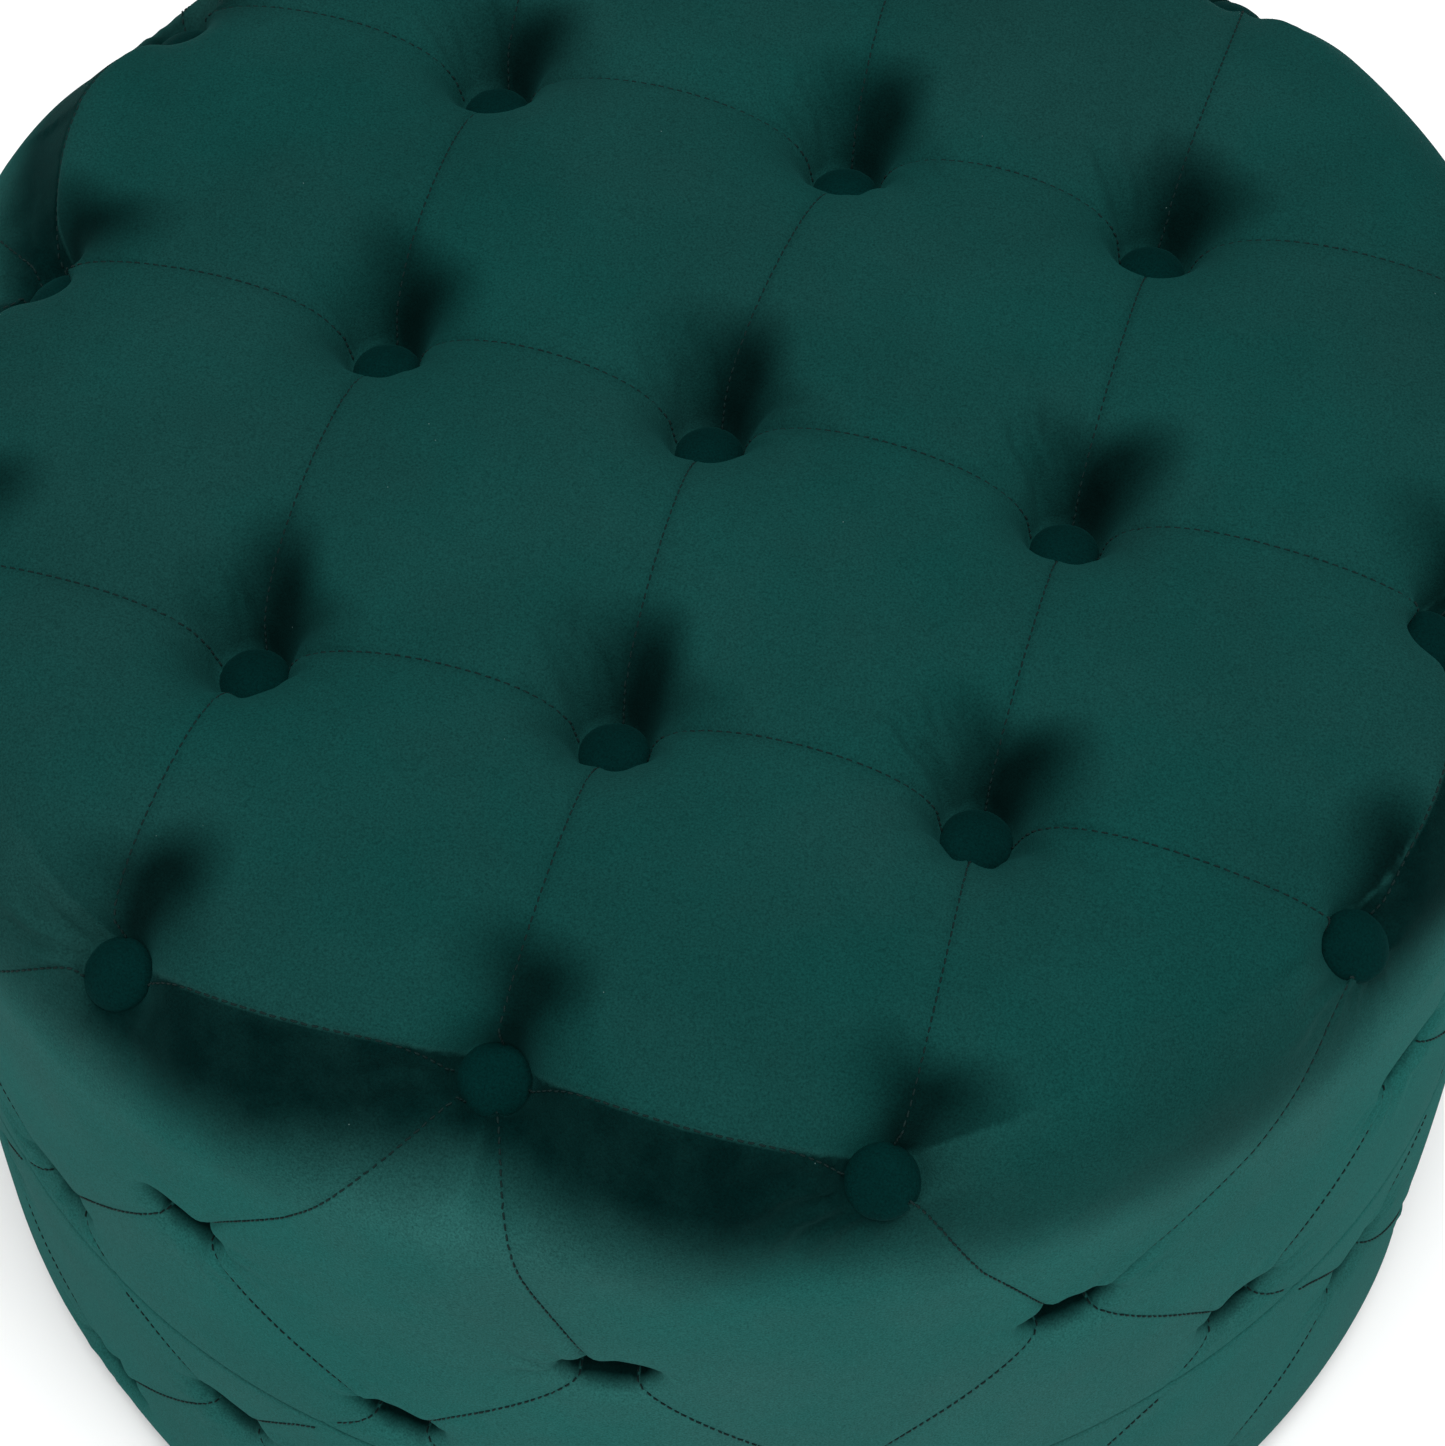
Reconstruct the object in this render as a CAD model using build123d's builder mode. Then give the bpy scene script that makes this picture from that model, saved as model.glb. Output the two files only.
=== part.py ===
from build123d import *
import os
from math import sin, cos, tan, atan2, radians, degrees, sqrt, hypot

# ---------------------------------------------------------------------------
# Round deep-buttoned storage ottoman: an upholstered tub with a deep lift-off lid.
# Millimetres, +Z up, origin on the floor under the centre of the tub.
# ---------------------------------------------------------------------------

# overall sizes
OUTER_R = 317.5          # outside of the upholstery
CROWN_Z = 460.0          # top of the seat puffs
HEM_Z = 6.0              # bottom edge of the upholstery above the floor
RIM_ARC = 82.0           # rounding of the seat's rim
SPLIT_Z = 192.0          # height of the line between tub and lid
SPLIT_GAP = 0.8          # half of the gap between the two covers at that line
COVER_T = 1.6            # velvet with its backing

# tufting
PITCH = 131.0            # distance between seat buttons
GRID_X, GRID_Y = 5.5, 0.5  # the button grid was set out this far off centre
SEAT_BUTTON_Z = 421.0    # crown of a seat button
RING_TILT = 25.0         # lean of the outer ring of seat buttons, degrees
BUTTON_R = 13.0
BUTTON_H = 9.0
SIDE_BUTTON_H = 8.0
POCKET_R = 15.0          # inside of a tuft pocket
SIDE_PER_ROW = 12
ROW_Z = {1: 309.6, 2: 224.5, 3: 139.4, 4: 54.2}
ROW_A0 = {1: -109.5, 2: -94.5, 3: -109.5, 4: -94.5}

# seat buttons: column, row of the grid, and how far each was pulled off its mark
SEAT_BUTTONS = [
    (-1, 2, 0.5, -1.0), (0, 2, -1.5, 1.0), (1, 2, -0.7, 1.3),
    (-2, 1, 0.4, -2.0), (-1, 1, -1.0, 2.2), (0, 1, 7.3, 2.3), (1, 1, -3.2, -1.2), (2, 1, 1.0, 1.5),
    (-2, 0, -0.3, -1.7), (-1, 0, -0.2, 3.3), (0, 0, -6.0, 1.1), (1, 0, -2.4, -3.5), (2, 0, 3.0, -3.9),
    (-2, -1, 1.5, -1.0), (-1, -1, 0.7, -7.2), (0, -1, 0.2, -0.2), (1, -1, -1.2, 2.3), (2, -1, 2.9, -1.4),
    (-1, -2, -2.7, -3.0), (0, -2, 1.3, -4.6), (1, -2, 4.2, -2.6),
]

# timber
FLOOR_Z0, FLOOR_Z1 = 10.0, 25.0
FLOOR_R = 280.0
BASE_WALL_RO, BASE_WALL_RI = 280.0, 270.0
SLEEVE_RI = 263.0
SLEEVE_TOP = 211.0       # the inner sleeve stands above the tub's rim and centres the lid
LID_WALL_RO, LID_WALL_RI = 282.0, 272.0
BOARD_Z0, BOARD_Z1 = 370.0, 385.0
BOARD_R = 282.0
RIM_CLEAR = 0.4          # between the lid wall and the tub wall when shut

# lining, dust cover, fittings
LINING_T = 1.0
PAD_T = 3.0
DUST_Z0, DUST_Z1 = 7.6, 8.4
HEM_FLANGE_R = 258.0
TWINE_R = 1.0
TWINE_HOLE_R = 1.4
WASHER_R, WASHER_HOLE_R, WASHER_T = 6.0, 2.1, 1.0
RECESS_R, RECESS_D = 7.0, 4.5
SCREW_R, SCREW_HEAD_R = 2.0, 4.0
PILOT_R = 2.05
SCREWS_ROUND = 12
SLEEVE_SCREWS = 8
SLEEVE_SCREW_Z = 96.0
GLIDES = 6
GLIDE_PCR = 232.0
GLIDE_R = 14.0
GLIDE_H = 7.4
STAPLES = 36

os.makedirs("parts", exist_ok=True)


def button_frame(entry):
    """Plane at the back of a seat button, with its normal out of the seat, and the twine's line."""
    i, j, dx, dy = entry
    x, y = GRID_X + PITCH * i + dx, GRID_Y + PITCH * j + dy
    r, a = hypot(x, y), atan2(y, x)
    ring = max(abs(i), abs(j)) == 2
    t = radians(RING_TILT) if ring else 0.0
    n = (sin(t) * cos(a), sin(t) * sin(a), cos(t))
    back = tuple(p - BUTTON_H * q for p, q in zip((x, y, SEAT_BUTTON_Z), n))
    # the twine runs to a hole in the board, further in for the outer ring
    ra = min(r - 14.0, 264.0) if ring else r
    anchor = (ra * cos(a), ra * sin(a), BOARD_Z0 + 1.5)
    d = tuple(p - q for p, q in zip(back, anchor))
    return Plane(origin=back, z_dir=n), Plane(origin=anchor, z_dir=d), sqrt(sum(v * v for v in d))


def side_frame(angle, z, r):
    """Plane on the drum's side at radius r, with its normal pointing outwards."""
    a = radians(angle)
    return Plane(origin=(r * cos(a), r * sin(a), z), x_dir=(-sin(a), cos(a), 0), z_dir=(cos(a), sin(a), 0))


def row_frames(row, r):
    return [side_frame(ROW_A0[row] + k * 360.0 / SIDE_PER_ROW, ROW_Z[row], r) for k in range(SIDE_PER_ROW)]


def dome_radius(half_chord, rise):
    """Radius of a dome with its centre on the button's axis."""
    return (half_chord**2 + rise**2) / (2 * rise)


def ring_planes(count, r, z, first=0.0, up=1):
    return [
        Plane(origin=(r * cos(radians(first + k * 360.0 / count)), r * sin(radians(first + k * 360.0 / count)), z), z_dir=(0, 0, up))
        for k in range(count)
    ]


seat = [button_frame(e) for e in SEAT_BUTTONS]
seat_backs = [s[0] for s in seat]
seat_anchors = [s[1] for s in seat]
LID_BACK_R = LID_WALL_RO + 2.0
BASE_BACK_R = BASE_WALL_RO + 2.0

# ---------------------------------------------------------------------------
# Upholstery. The velvet is a shell over the foam; at every tuft it dives into a
# pocket and passes under the button.
# ---------------------------------------------------------------------------
lid_z0 = SPLIT_Z + SPLIT_GAP
base_z1 = SPLIT_Z - SPLIT_GAP
lid_rows = [*row_frames(1, LID_BACK_R), *row_frames(2, LID_BACK_R)]
base_rows = [*row_frames(3, BASE_BACK_R), *row_frames(4, BASE_BACK_R)]

with BuildPart() as lid_outside:
    with BuildSketch(Plane.XZ):
        with BuildLine():
            Polyline((0, CROWN_Z), (0, lid_z0), (OUTER_R - 5, lid_z0))
            RadiusArc((OUTER_R - 5, lid_z0), (OUTER_R, lid_z0 + 5), -5)
            Line((OUTER_R, lid_z0 + 5), (OUTER_R, CROWN_Z - RIM_ARC))
            RadiusArc((OUTER_R, CROWN_Z - RIM_ARC), (OUTER_R - RIM_ARC, CROWN_Z), -RIM_ARC)
            Line((OUTER_R - RIM_ARC, CROWN_Z), (0, CROWN_Z))
        make_face()
    revolve(axis=Axis.Z)

with BuildPart() as lid_inside:
    with BuildSketch(Plane.XZ):
        with BuildLine():
            Polyline((0, CROWN_Z - COVER_T), (0, lid_z0 + COVER_T), (OUTER_R - 5, lid_z0 + COVER_T))
            RadiusArc((OUTER_R - 5, lid_z0 + COVER_T), (OUTER_R - COVER_T, lid_z0 + 5), -(5 - COVER_T))
            Line((OUTER_R - COVER_T, lid_z0 + 5), (OUTER_R - COVER_T, CROWN_Z - RIM_ARC))
            RadiusArc((OUTER_R - COVER_T, CROWN_Z - RIM_ARC), (OUTER_R - RIM_ARC, CROWN_Z - COVER_T), -(RIM_ARC - COVER_T))
            Line((OUTER_R - RIM_ARC, CROWN_Z - COVER_T), (0, CROWN_Z - COVER_T))
        make_face()
    revolve(axis=Axis.Z)

with BuildPart() as base_outside:
    with BuildSketch(Plane.XZ):
        with BuildLine():
            Polyline((0, base_z1), (0, HEM_Z), (OUTER_R - 12, HEM_Z))
            RadiusArc((OUTER_R - 12, HEM_Z), (OUTER_R, HEM_Z + 12), -12)
            Line((OUTER_R, HEM_Z + 12), (OUTER_R, base_z1 - 5))
            RadiusArc((OUTER_R, base_z1 - 5), (OUTER_R - 5, base_z1), -5)
            Line((OUTER_R - 5, base_z1), (0, base_z1))
        make_face()
    revolve(axis=Axis.Z)

with BuildPart() as base_inside:
    with BuildSketch(Plane.XZ):
        with BuildLine():
            Polyline((0, base_z1 - COVER_T), (0, HEM_Z + COVER_T), (OUTER_R - 12, HEM_Z + COVER_T))
            RadiusArc((OUTER_R - 12, HEM_Z + COVER_T), (OUTER_R - COVER_T, HEM_Z + 12), -(12 - COVER_T))
            Line((OUTER_R - COVER_T, HEM_Z + 12), (OUTER_R - COVER_T, base_z1 - 5))
            RadiusArc((OUTER_R - COVER_T, base_z1 - 5), (OUTER_R - 5, base_z1 - COVER_T), -(5 - COVER_T))
            Line((OUTER_R - 5, base_z1 - COVER_T), (0, base_z1 - COVER_T))
        make_face()
    revolve(axis=Axis.Z)

# tuft pockets of velvet, cut off level with the outside of the cover
with BuildPart() as lid_pockets:
    with Locations(*[p.offset(-COVER_T) for p in seat_backs]):
        Cylinder(POCKET_R + COVER_T, 70, align=(Align.CENTER, Align.CENTER, Align.MIN))
    with Locations(*[p.offset(-COVER_T) for p in lid_rows]):
        Cylinder(POCKET_R + COVER_T, 50, align=(Align.CENTER, Align.CENTER, Align.MIN))
    add(lid_outside.part, mode=Mode.INTERSECT)

with BuildPart() as base_pockets:
    with Locations(*[p.offset(-COVER_T) for p in base_rows]):
        Cylinder(POCKET_R + COVER_T, 50, align=(Align.CENTER, Align.CENTER, Align.MIN))
    add(base_outside.part, mode=Mode.INTERSECT)

with BuildPart() as lid_cover:
    add(lid_outside.part)
    add(lid_inside.part, mode=Mode.SUBTRACT)
    add(lid_pockets.part)
    # room for the timber above the bottom edge
    with BuildSketch(Plane.XY.offset(lid_z0 - 4)):
        Circle(LID_WALL_RO + 0.2)
    extrude(amount=40, mode=Mode.SUBTRACT)
    with Locations(*seat_backs):
        Cylinder(POCKET_R, 80, align=(Align.CENTER, Align.CENTER, Align.MIN), mode=Mode.SUBTRACT)
    with Locations(*lid_rows):
        Cylinder(POCKET_R, 60, align=(Align.CENTER, Align.CENTER, Align.MIN), mode=Mode.SUBTRACT)
    for plane, anchor, length in seat:
        with Locations(anchor):
            Cylinder(TWINE_HOLE_R, length + 1, align=(Align.CENTER, Align.CENTER, Align.MIN), mode=Mode.SUBTRACT)
    with Locations(*[p.offset(-6) for p in lid_rows]):
        Cylinder(TWINE_HOLE_R, 10, align=(Align.CENTER, Align.CENTER, Align.MIN), mode=Mode.SUBTRACT)
lid_cover.part.label = "lid_cover"
export_step(lid_cover.part, "parts/lid_cover.step")

with BuildPart() as lid_top_foam:
    add(lid_inside.part)
    split(bisect_by=Plane.XY.offset(BOARD_Z1 + 0.1), keep=Keep.TOP)
    with Locations(*[p.offset(-COVER_T - 0.1) for p in seat_backs]):
        Cylinder(POCKET_R + COVER_T + 0.2, 90, align=(Align.CENTER, Align.CENTER, Align.MIN), mode=Mode.SUBTRACT)
    for plane, anchor, length in seat:
        with Locations(anchor):
            Cylinder(TWINE_HOLE_R, length, align=(Align.CENTER, Align.CENTER, Align.MIN), mode=Mode.SUBTRACT)
lid_top_foam.part.label = "lid_top_foam"
export_step(lid_top_foam.part, "parts/lid_top_foam.step")

with BuildPart() as lid_side_foam:
    add(lid_inside.part)
    split(bisect_by=Plane.XY.offset(BOARD_Z1), keep=Keep.BOTTOM)
    with BuildSketch(Plane.XY.offset(lid_z0 - 4)):
        Circle(LID_WALL_RO + 0.2)
    extrude(amount=BOARD_Z1 + 4 - lid_z0 + 4, mode=Mode.SUBTRACT)
    with Locations(*[p.offset(-8) for p in lid_rows]):
        Cylinder(POCKET_R + COVER_T + 0.2, 60, align=(Align.CENTER, Align.CENTER, Align.MIN), mode=Mode.SUBTRACT)
lid_side_foam.part.label = "lid_side_foam"
export_step(lid_side_foam.part, "parts/lid_side_foam.step")

with BuildPart() as base_cover:
    add(base_outside.part)
    add(base_inside.part, mode=Mode.SUBTRACT)
    add(base_pockets.part)
    # room for the timber
    with BuildSketch(Plane.XY.offset(HEM_Z - 4)):
        Circle(BASE_WALL_RO + 0.2)
    extrude(amount=base_z1 - HEM_Z + 8, mode=Mode.SUBTRACT)
    with Locations(*base_rows):
        Cylinder(POCKET_R, 60, align=(Align.CENTER, Align.CENTER, Align.MIN), mode=Mode.SUBTRACT)
    with Locations(*[p.offset(-6) for p in base_rows]):
        Cylinder(TWINE_HOLE_R, 10, align=(Align.CENTER, Align.CENTER, Align.MIN), mode=Mode.SUBTRACT)
    # the hem turned up and under the floor board
    with BuildSketch(Plane.XY.offset(DUST_Z1)):
        Circle(BASE_WALL_RO + 1.8)
        Circle(HEM_FLANGE_R, mode=Mode.SUBTRACT)
    extrude(amount=FLOOR_Z0 - DUST_Z1)
    with BuildSketch(Plane.XY.offset(HEM_Z)):
        Circle(BASE_WALL_RO + 1.8)
        Circle(BASE_WALL_RO + 0.2, mode=Mode.SUBTRACT)
    extrude(amount=FLOOR_Z0 - HEM_Z)
base_cover.part.label = "base_cover"
export_step(base_cover.part, "parts/base_cover.step")

with BuildPart() as base_side_foam:
    add(base_inside.part)
    with BuildSketch(Plane.XY.offset(HEM_Z - 4)):
        Circle(BASE_WALL_RO + 0.2)
    extrude(amount=base_z1 - HEM_Z + 8, mode=Mode.SUBTRACT)
    with Locations(*[p.offset(-8) for p in base_rows]):
        Cylinder(POCKET_R + COVER_T + 0.2, 60, align=(Align.CENTER, Align.CENTER, Align.MIN), mode=Mode.SUBTRACT)
    # room for the turned hem
    with BuildSketch(Plane.XY.offset(HEM_Z)):
        Circle(BASE_WALL_RO + 2)
        Circle(BASE_WALL_RO - 5, mode=Mode.SUBTRACT)
    extrude(amount=FLOOR_Z0 + 0.2 - HEM_Z, mode=Mode.SUBTRACT)
base_side_foam.part.label = "base_side_foam"
export_step(base_side_foam.part, "parts/base_side_foam.step")

# fabric covered buttons: a flat back and a low dome
with BuildPart() as seat_button:
    with BuildSketch(Plane.XZ):
        with BuildLine():
            Line((0, 0), (BUTTON_R - 1.6, 0))
            ThreePointArc((BUTTON_R - 1.6, 0), (BUTTON_R, 2.4), (BUTTON_R - 0.9, 4.8))
            RadiusArc((BUTTON_R - 0.9, 4.8), (0, BUTTON_H), -dome_radius(BUTTON_R - 0.9, BUTTON_H - 4.8))
            Line((0, BUTTON_H), (0, 0))
        make_face()
    revolve(axis=Axis.Z)

with BuildPart() as side_button:
    with BuildSketch(Plane.XZ):
        with BuildLine():
            Line((0, 0), (BUTTON_R - 1.6, 0))
            ThreePointArc((BUTTON_R - 1.6, 0), (BUTTON_R, 2.2), (BUTTON_R - 0.9, 4.3))
            RadiusArc((BUTTON_R - 0.9, 4.3), (0, SIDE_BUTTON_H), -dome_radius(BUTTON_R - 0.9, SIDE_BUTTON_H - 4.3))
            Line((0, SIDE_BUTTON_H), (0, 0))
        make_face()
    revolve(axis=Axis.Z)

with BuildPart() as lid_top_buttons:
    with Locations(*seat_backs):
        add(seat_button.part)
lid_top_buttons.part.label = "lid_top_buttons"
export_step(lid_top_buttons.part, "parts/lid_top_buttons.step")

with BuildPart() as lid_buttons_row_1:
    with Locations(*row_frames(1, LID_BACK_R)):
        add(side_button.part)
lid_buttons_row_1.part.label = "lid_buttons_row_1"
export_step(lid_buttons_row_1.part, "parts/lid_buttons_row_1.step")

with BuildPart() as lid_buttons_row_2:
    with Locations(*row_frames(2, LID_BACK_R)):
        add(side_button.part)
lid_buttons_row_2.part.label = "lid_buttons_row_2"
export_step(lid_buttons_row_2.part, "parts/lid_buttons_row_2.step")

# tufting twine with the knot behind its washer; it lies in a recess of the timber
with BuildPart() as lid_top_twine:
    for plane, anchor, length in seat:
        with Locations(anchor):
            Cylinder(TWINE_R, length - 0.6, align=(Align.CENTER, Align.CENTER, Align.MIN))
            Sphere(2.4 / 2 + 0.2)
lid_top_twine.part.label = "lid_top_twine"
export_step(lid_top_twine.part, "parts/lid_top_twine.step")

with BuildPart() as side_twine_lid:
    Cylinder(TWINE_R, LID_BACK_R - (LID_WALL_RI + 1.6) - 0.1, align=(Align.CENTER, Align.CENTER, Align.MIN))
    Sphere(1.4)

with BuildPart() as lid_side_twine:
    with Locations(*row_frames(1, LID_WALL_RI + 1.6), *row_frames(2, LID_WALL_RI + 1.6)):
        add(side_twine_lid.part)
lid_side_twine.part.label = "lid_side_twine"
export_step(lid_side_twine.part, "parts/lid_side_twine.step")

with BuildPart() as washer:
    with BuildSketch():
        Circle(WASHER_R)
        Circle(WASHER_HOLE_R, mode=Mode.SUBTRACT)
    extrude(amount=WASHER_T)

top_washer_planes = []
for plane, anchor, length in seat:
    o, d = anchor.origin, anchor.z_dir
    k = (BOARD_Z0 + RECESS_D - WASHER_T / 2 - o.Z) / d.Z
    top_washer_planes.append(Plane(origin=(o.X + d.X * k, o.Y + d.Y * k, BOARD_Z0 + RECESS_D - WASHER_T - 0.05), z_dir=(0, 0, 1)))

with BuildPart() as lid_top_washers:
    with Locations(*top_washer_planes):
        add(washer.part)
lid_top_washers.part.label = "lid_top_washers"
export_step(lid_top_washers.part, "parts/lid_top_washers.step")

with BuildPart() as lid_side_washers:
    with Locations(*row_frames(1, LID_WALL_RI + RECESS_D - WASHER_T - 0.05), *row_frames(2, LID_WALL_RI + RECESS_D - WASHER_T - 0.05)):
        add(washer.part)
lid_side_washers.part.label = "lid_side_washers"
export_step(lid_side_washers.part, "parts/lid_side_washers.step")

# ---------------------------------------------------------------------------
# Lid timber and lining
# ---------------------------------------------------------------------------
edge_screw_r = (LID_WALL_RO + LID_WALL_RI) / 2
lid_screw_planes = ring_planes(SCREWS_ROUND, edge_screw_r, BOARD_Z1, 10.0)

with BuildPart() as lid_board:
    with BuildSketch(Plane.XY.offset(BOARD_Z0)):
        Circle(BOARD_R)
    extrude(amount=BOARD_Z1 - BOARD_Z0)
    chamfer(lid_board.edges().filter_by(GeomType.CIRCLE).sort_by(Axis.Z)[-1], 1.0)
    for plane, anchor, length in seat:
        with Locations(anchor):
            Cylinder(TWINE_HOLE_R + 0.2, length, align=(Align.CENTER, Align.CENTER, Align.MIN), mode=Mode.SUBTRACT)
    with Locations(*[Plane(origin=(p.origin.X, p.origin.Y, BOARD_Z0), z_dir=(0, 0, 1)) for p in top_washer_planes]):
        Cylinder(RECESS_R, RECESS_D, align=(Align.CENTER, Align.CENTER, Align.MIN), mode=Mode.SUBTRACT)
    with Locations(*lid_screw_planes):
        CounterSinkHole(PILOT_R, SCREW_HEAD_R + 0.1, depth=20, counter_sink_angle=90)
lid_board.part.label = "lid_board"
export_step(lid_board.part, "parts/lid_board.step")

with BuildPart() as lid_wall:
    with BuildSketch(Plane.XY.offset(SPLIT_Z + RIM_CLEAR / 2)):
        Circle(LID_WALL_RO)
        Circle(LID_WALL_RI, mode=Mode.SUBTRACT)
    extrude(amount=BOARD_Z0 - SPLIT_Z - RIM_CLEAR / 2)
    with Locations(*row_frames(1, LID_WALL_RI - 2), *row_frames(2, LID_WALL_RI - 2)):
        Cylinder(RECESS_R, RECESS_D + 2, align=(Align.CENTER, Align.CENTER, Align.MIN), mode=Mode.SUBTRACT)
        Cylinder(TWINE_HOLE_R, 14, align=(Align.CENTER, Align.CENTER, Align.MIN), mode=Mode.SUBTRACT)
    with Locations(*[p.offset(-15) for p in lid_screw_planes]):
        Cylinder(PILOT_R, 26, align=(Align.CENTER, Align.CENTER, Align.MAX), mode=Mode.SUBTRACT)
lid_wall.part.label = "lid_wall"
export_step(lid_wall.part, "parts/lid_wall.step")

# countersunk wood screw, head at the origin, pointing down
with BuildPart() as wood_screw:
    with BuildSketch(Plane.XZ):
        with BuildLine():
            Polyline((0, 0), (SCREW_HEAD_R - 0.2, 0), (SCREW_R, -(SCREW_HEAD_R - 0.2 - SCREW_R)), (SCREW_R, -34), (0, -38), (0, 0))
        make_face()
    revolve(axis=Axis.Z)
    with BuildSketch(Plane.XY):
        Rectangle(4.4, 1.0)
        Rectangle(1.0, 4.4)
    extrude(amount=-1.4, mode=Mode.SUBTRACT)

with BuildPart() as short_screw:
    with BuildSketch(Plane.XZ):
        with BuildLine():
            Polyline((0, 0), (3.2, 0), (1.7, -1.5), (1.7, -11.5), (0, -14), (0, 0))
        make_face()
    revolve(axis=Axis.Z)
    with BuildSketch(Plane.XY):
        Rectangle(3.8, 0.9)
        Rectangle(0.9, 3.8)
    extrude(amount=-1.2, mode=Mode.SUBTRACT)

with BuildPart() as lid_board_screws:
    with Locations(*[p.offset(-0.1) for p in lid_screw_planes]):
        add(wood_screw.part)
lid_board_screws.part.label = "lid_board_screws"
export_step(lid_board_screws.part, "parts/lid_board_screws.step")

LINING_Z0 = SLEEVE_TOP + LINING_T + 3.0
with BuildPart() as lid_lining:
    with BuildSketch(Plane.XY.offset(LINING_Z0)):
        Circle(LID_WALL_RI - 0.1)
        Circle(LID_WALL_RI - 0.1 - LINING_T, mode=Mode.SUBTRACT)
    extrude(amount=BOARD_Z0 - LINING_Z0 - LINING_T - 0.2)
lid_lining.part.label = "lid_lining"
export_step(lid_lining.part, "parts/lid_lining.step")

with BuildPart() as lid_ceiling_lining:
    with BuildSketch(Plane.XY.offset(BOARD_Z0 - LINING_T)):
        Circle(LID_WALL_RI - 0.4)
    extrude(amount=LINING_T)
lid_ceiling_lining.part.label = "lid_ceiling_lining"
export_step(lid_ceiling_lining.part, "parts/lid_ceiling_lining.step")

# ---------------------------------------------------------------------------
# Tub timber
# ---------------------------------------------------------------------------
floor_screw_r = (BASE_WALL_RO + BASE_WALL_RI) / 2
floor_screw_planes = ring_planes(SCREWS_ROUND, floor_screw_r, FLOOR_Z0, 10.0, up=-1)
glide_planes = ring_planes(GLIDES, GLIDE_PCR, 0.0, 0.0)
sleeve_screw_planes = []
for k in range(SLEEVE_SCREWS):
    a = radians(12.0 + k * 360.0 / SLEEVE_SCREWS)
    sleeve_screw_planes.append(Plane(origin=(SLEEVE_RI * cos(a), SLEEVE_RI * sin(a), SLEEVE_SCREW_Z), x_dir=(0, 0, 1), z_dir=(-cos(a), -sin(a), 0)))

with BuildPart() as floor_board:
    with BuildSketch(Plane.XY.offset(FLOOR_Z0)):
        Circle(FLOOR_R)
    extrude(amount=FLOOR_Z1 - FLOOR_Z0)
    chamfer(floor_board.edges().filter_by(GeomType.CIRCLE).sort_by(Axis.Z)[0], 1.0)
    with Locations(*floor_screw_planes):
        CounterSinkHole(PILOT_R, SCREW_HEAD_R + 0.1, depth=20, counter_sink_angle=90)
    with Locations(*[Plane(origin=(p.origin.X, p.origin.Y, FLOOR_Z0), z_dir=(0, 0, 1)) for p in glide_planes]):
        Cylinder(1.75, 12, align=(Align.CENTER, Align.CENTER, Align.MIN), mode=Mode.SUBTRACT)
floor_board.part.label = "floor_board"
export_step(floor_board.part, "parts/floor_board.step")

with BuildPart() as base_wall:
    with BuildSketch(Plane.XY.offset(FLOOR_Z1)):
        Circle(BASE_WALL_RO)
        Circle(BASE_WALL_RI, mode=Mode.SUBTRACT)
    extrude(amount=SPLIT_Z - RIM_CLEAR / 2 - FLOOR_Z1)
    with Locations(*row_frames(3, BASE_WALL_RI - 2), *row_frames(4, BASE_WALL_RI - 2)):
        Cylinder(RECESS_R, RECESS_D + 2, align=(Align.CENTER, Align.CENTER, Align.MIN), mode=Mode.SUBTRACT)
        Cylinder(TWINE_HOLE_R, 14, align=(Align.CENTER, Align.CENTER, Align.MIN), mode=Mode.SUBTRACT)
    with Locations(*[p.offset(-15) for p in floor_screw_planes]):
        Cylinder(PILOT_R, 26, align=(Align.CENTER, Align.CENTER, Align.MAX), mode=Mode.SUBTRACT)
    with Locations(*[p.offset(-6.5) for p in sleeve_screw_planes]):
        Cylinder(1.75, 8.5, align=(Align.CENTER, Align.CENTER, Align.MAX), mode=Mode.SUBTRACT)
base_wall.part.label = "base_wall"
export_step(base_wall.part, "parts/base_wall.step")

with BuildPart() as inner_sleeve:
    with BuildSketch(Plane.XY.offset(FLOOR_Z1)):
        Circle(BASE_WALL_RI - 0.1)
        Circle(SLEEVE_RI, mode=Mode.SUBTRACT)
    extrude(amount=SLEEVE_TOP - FLOOR_Z1)
    chamfer(inner_sleeve.edges().filter_by(GeomType.CIRCLE).group_by(Axis.Z)[-1], 1.5)
    with Locations(*sleeve_screw_planes):
        CounterSinkHole(1.75, 3.5, depth=12, counter_sink_angle=90)
inner_sleeve.part.label = "inner_sleeve"
export_step(inner_sleeve.part, "parts/inner_sleeve.step")

with BuildPart() as floor_screws:
    with Locations(*[p.offset(-0.1) for p in floor_screw_planes]):
        add(wood_screw.part)
floor_screws.part.label = "floor_screws"
export_step(floor_screws.part, "parts/floor_screws.step")

with BuildPart() as sleeve_screws:
    with Locations(*[p.offset(-0.15) for p in sleeve_screw_planes]):
        add(short_screw.part)
sleeve_screws.part.label = "sleeve_screws"
export_step(sleeve_screws.part, "parts/sleeve_screws.step")

# ---------------------------------------------------------------------------
# Tub upholstery
# ---------------------------------------------------------------------------
with BuildPart() as base_buttons_row_3:
    with Locations(*row_frames(3, BASE_BACK_R)):
        add(side_button.part)
base_buttons_row_3.part.label = "base_buttons_row_3"
export_step(base_buttons_row_3.part, "parts/base_buttons_row_3.step")

with BuildPart() as base_buttons_row_4:
    with Locations(*row_frames(4, BASE_BACK_R)):
        add(side_button.part)
base_buttons_row_4.part.label = "base_buttons_row_4"
export_step(base_buttons_row_4.part, "parts/base_buttons_row_4.step")

with BuildPart() as side_twine_base:
    Cylinder(TWINE_R, BASE_BACK_R - (BASE_WALL_RI + 1.6) - 0.1, align=(Align.CENTER, Align.CENTER, Align.MIN))
    Sphere(1.4)

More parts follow.
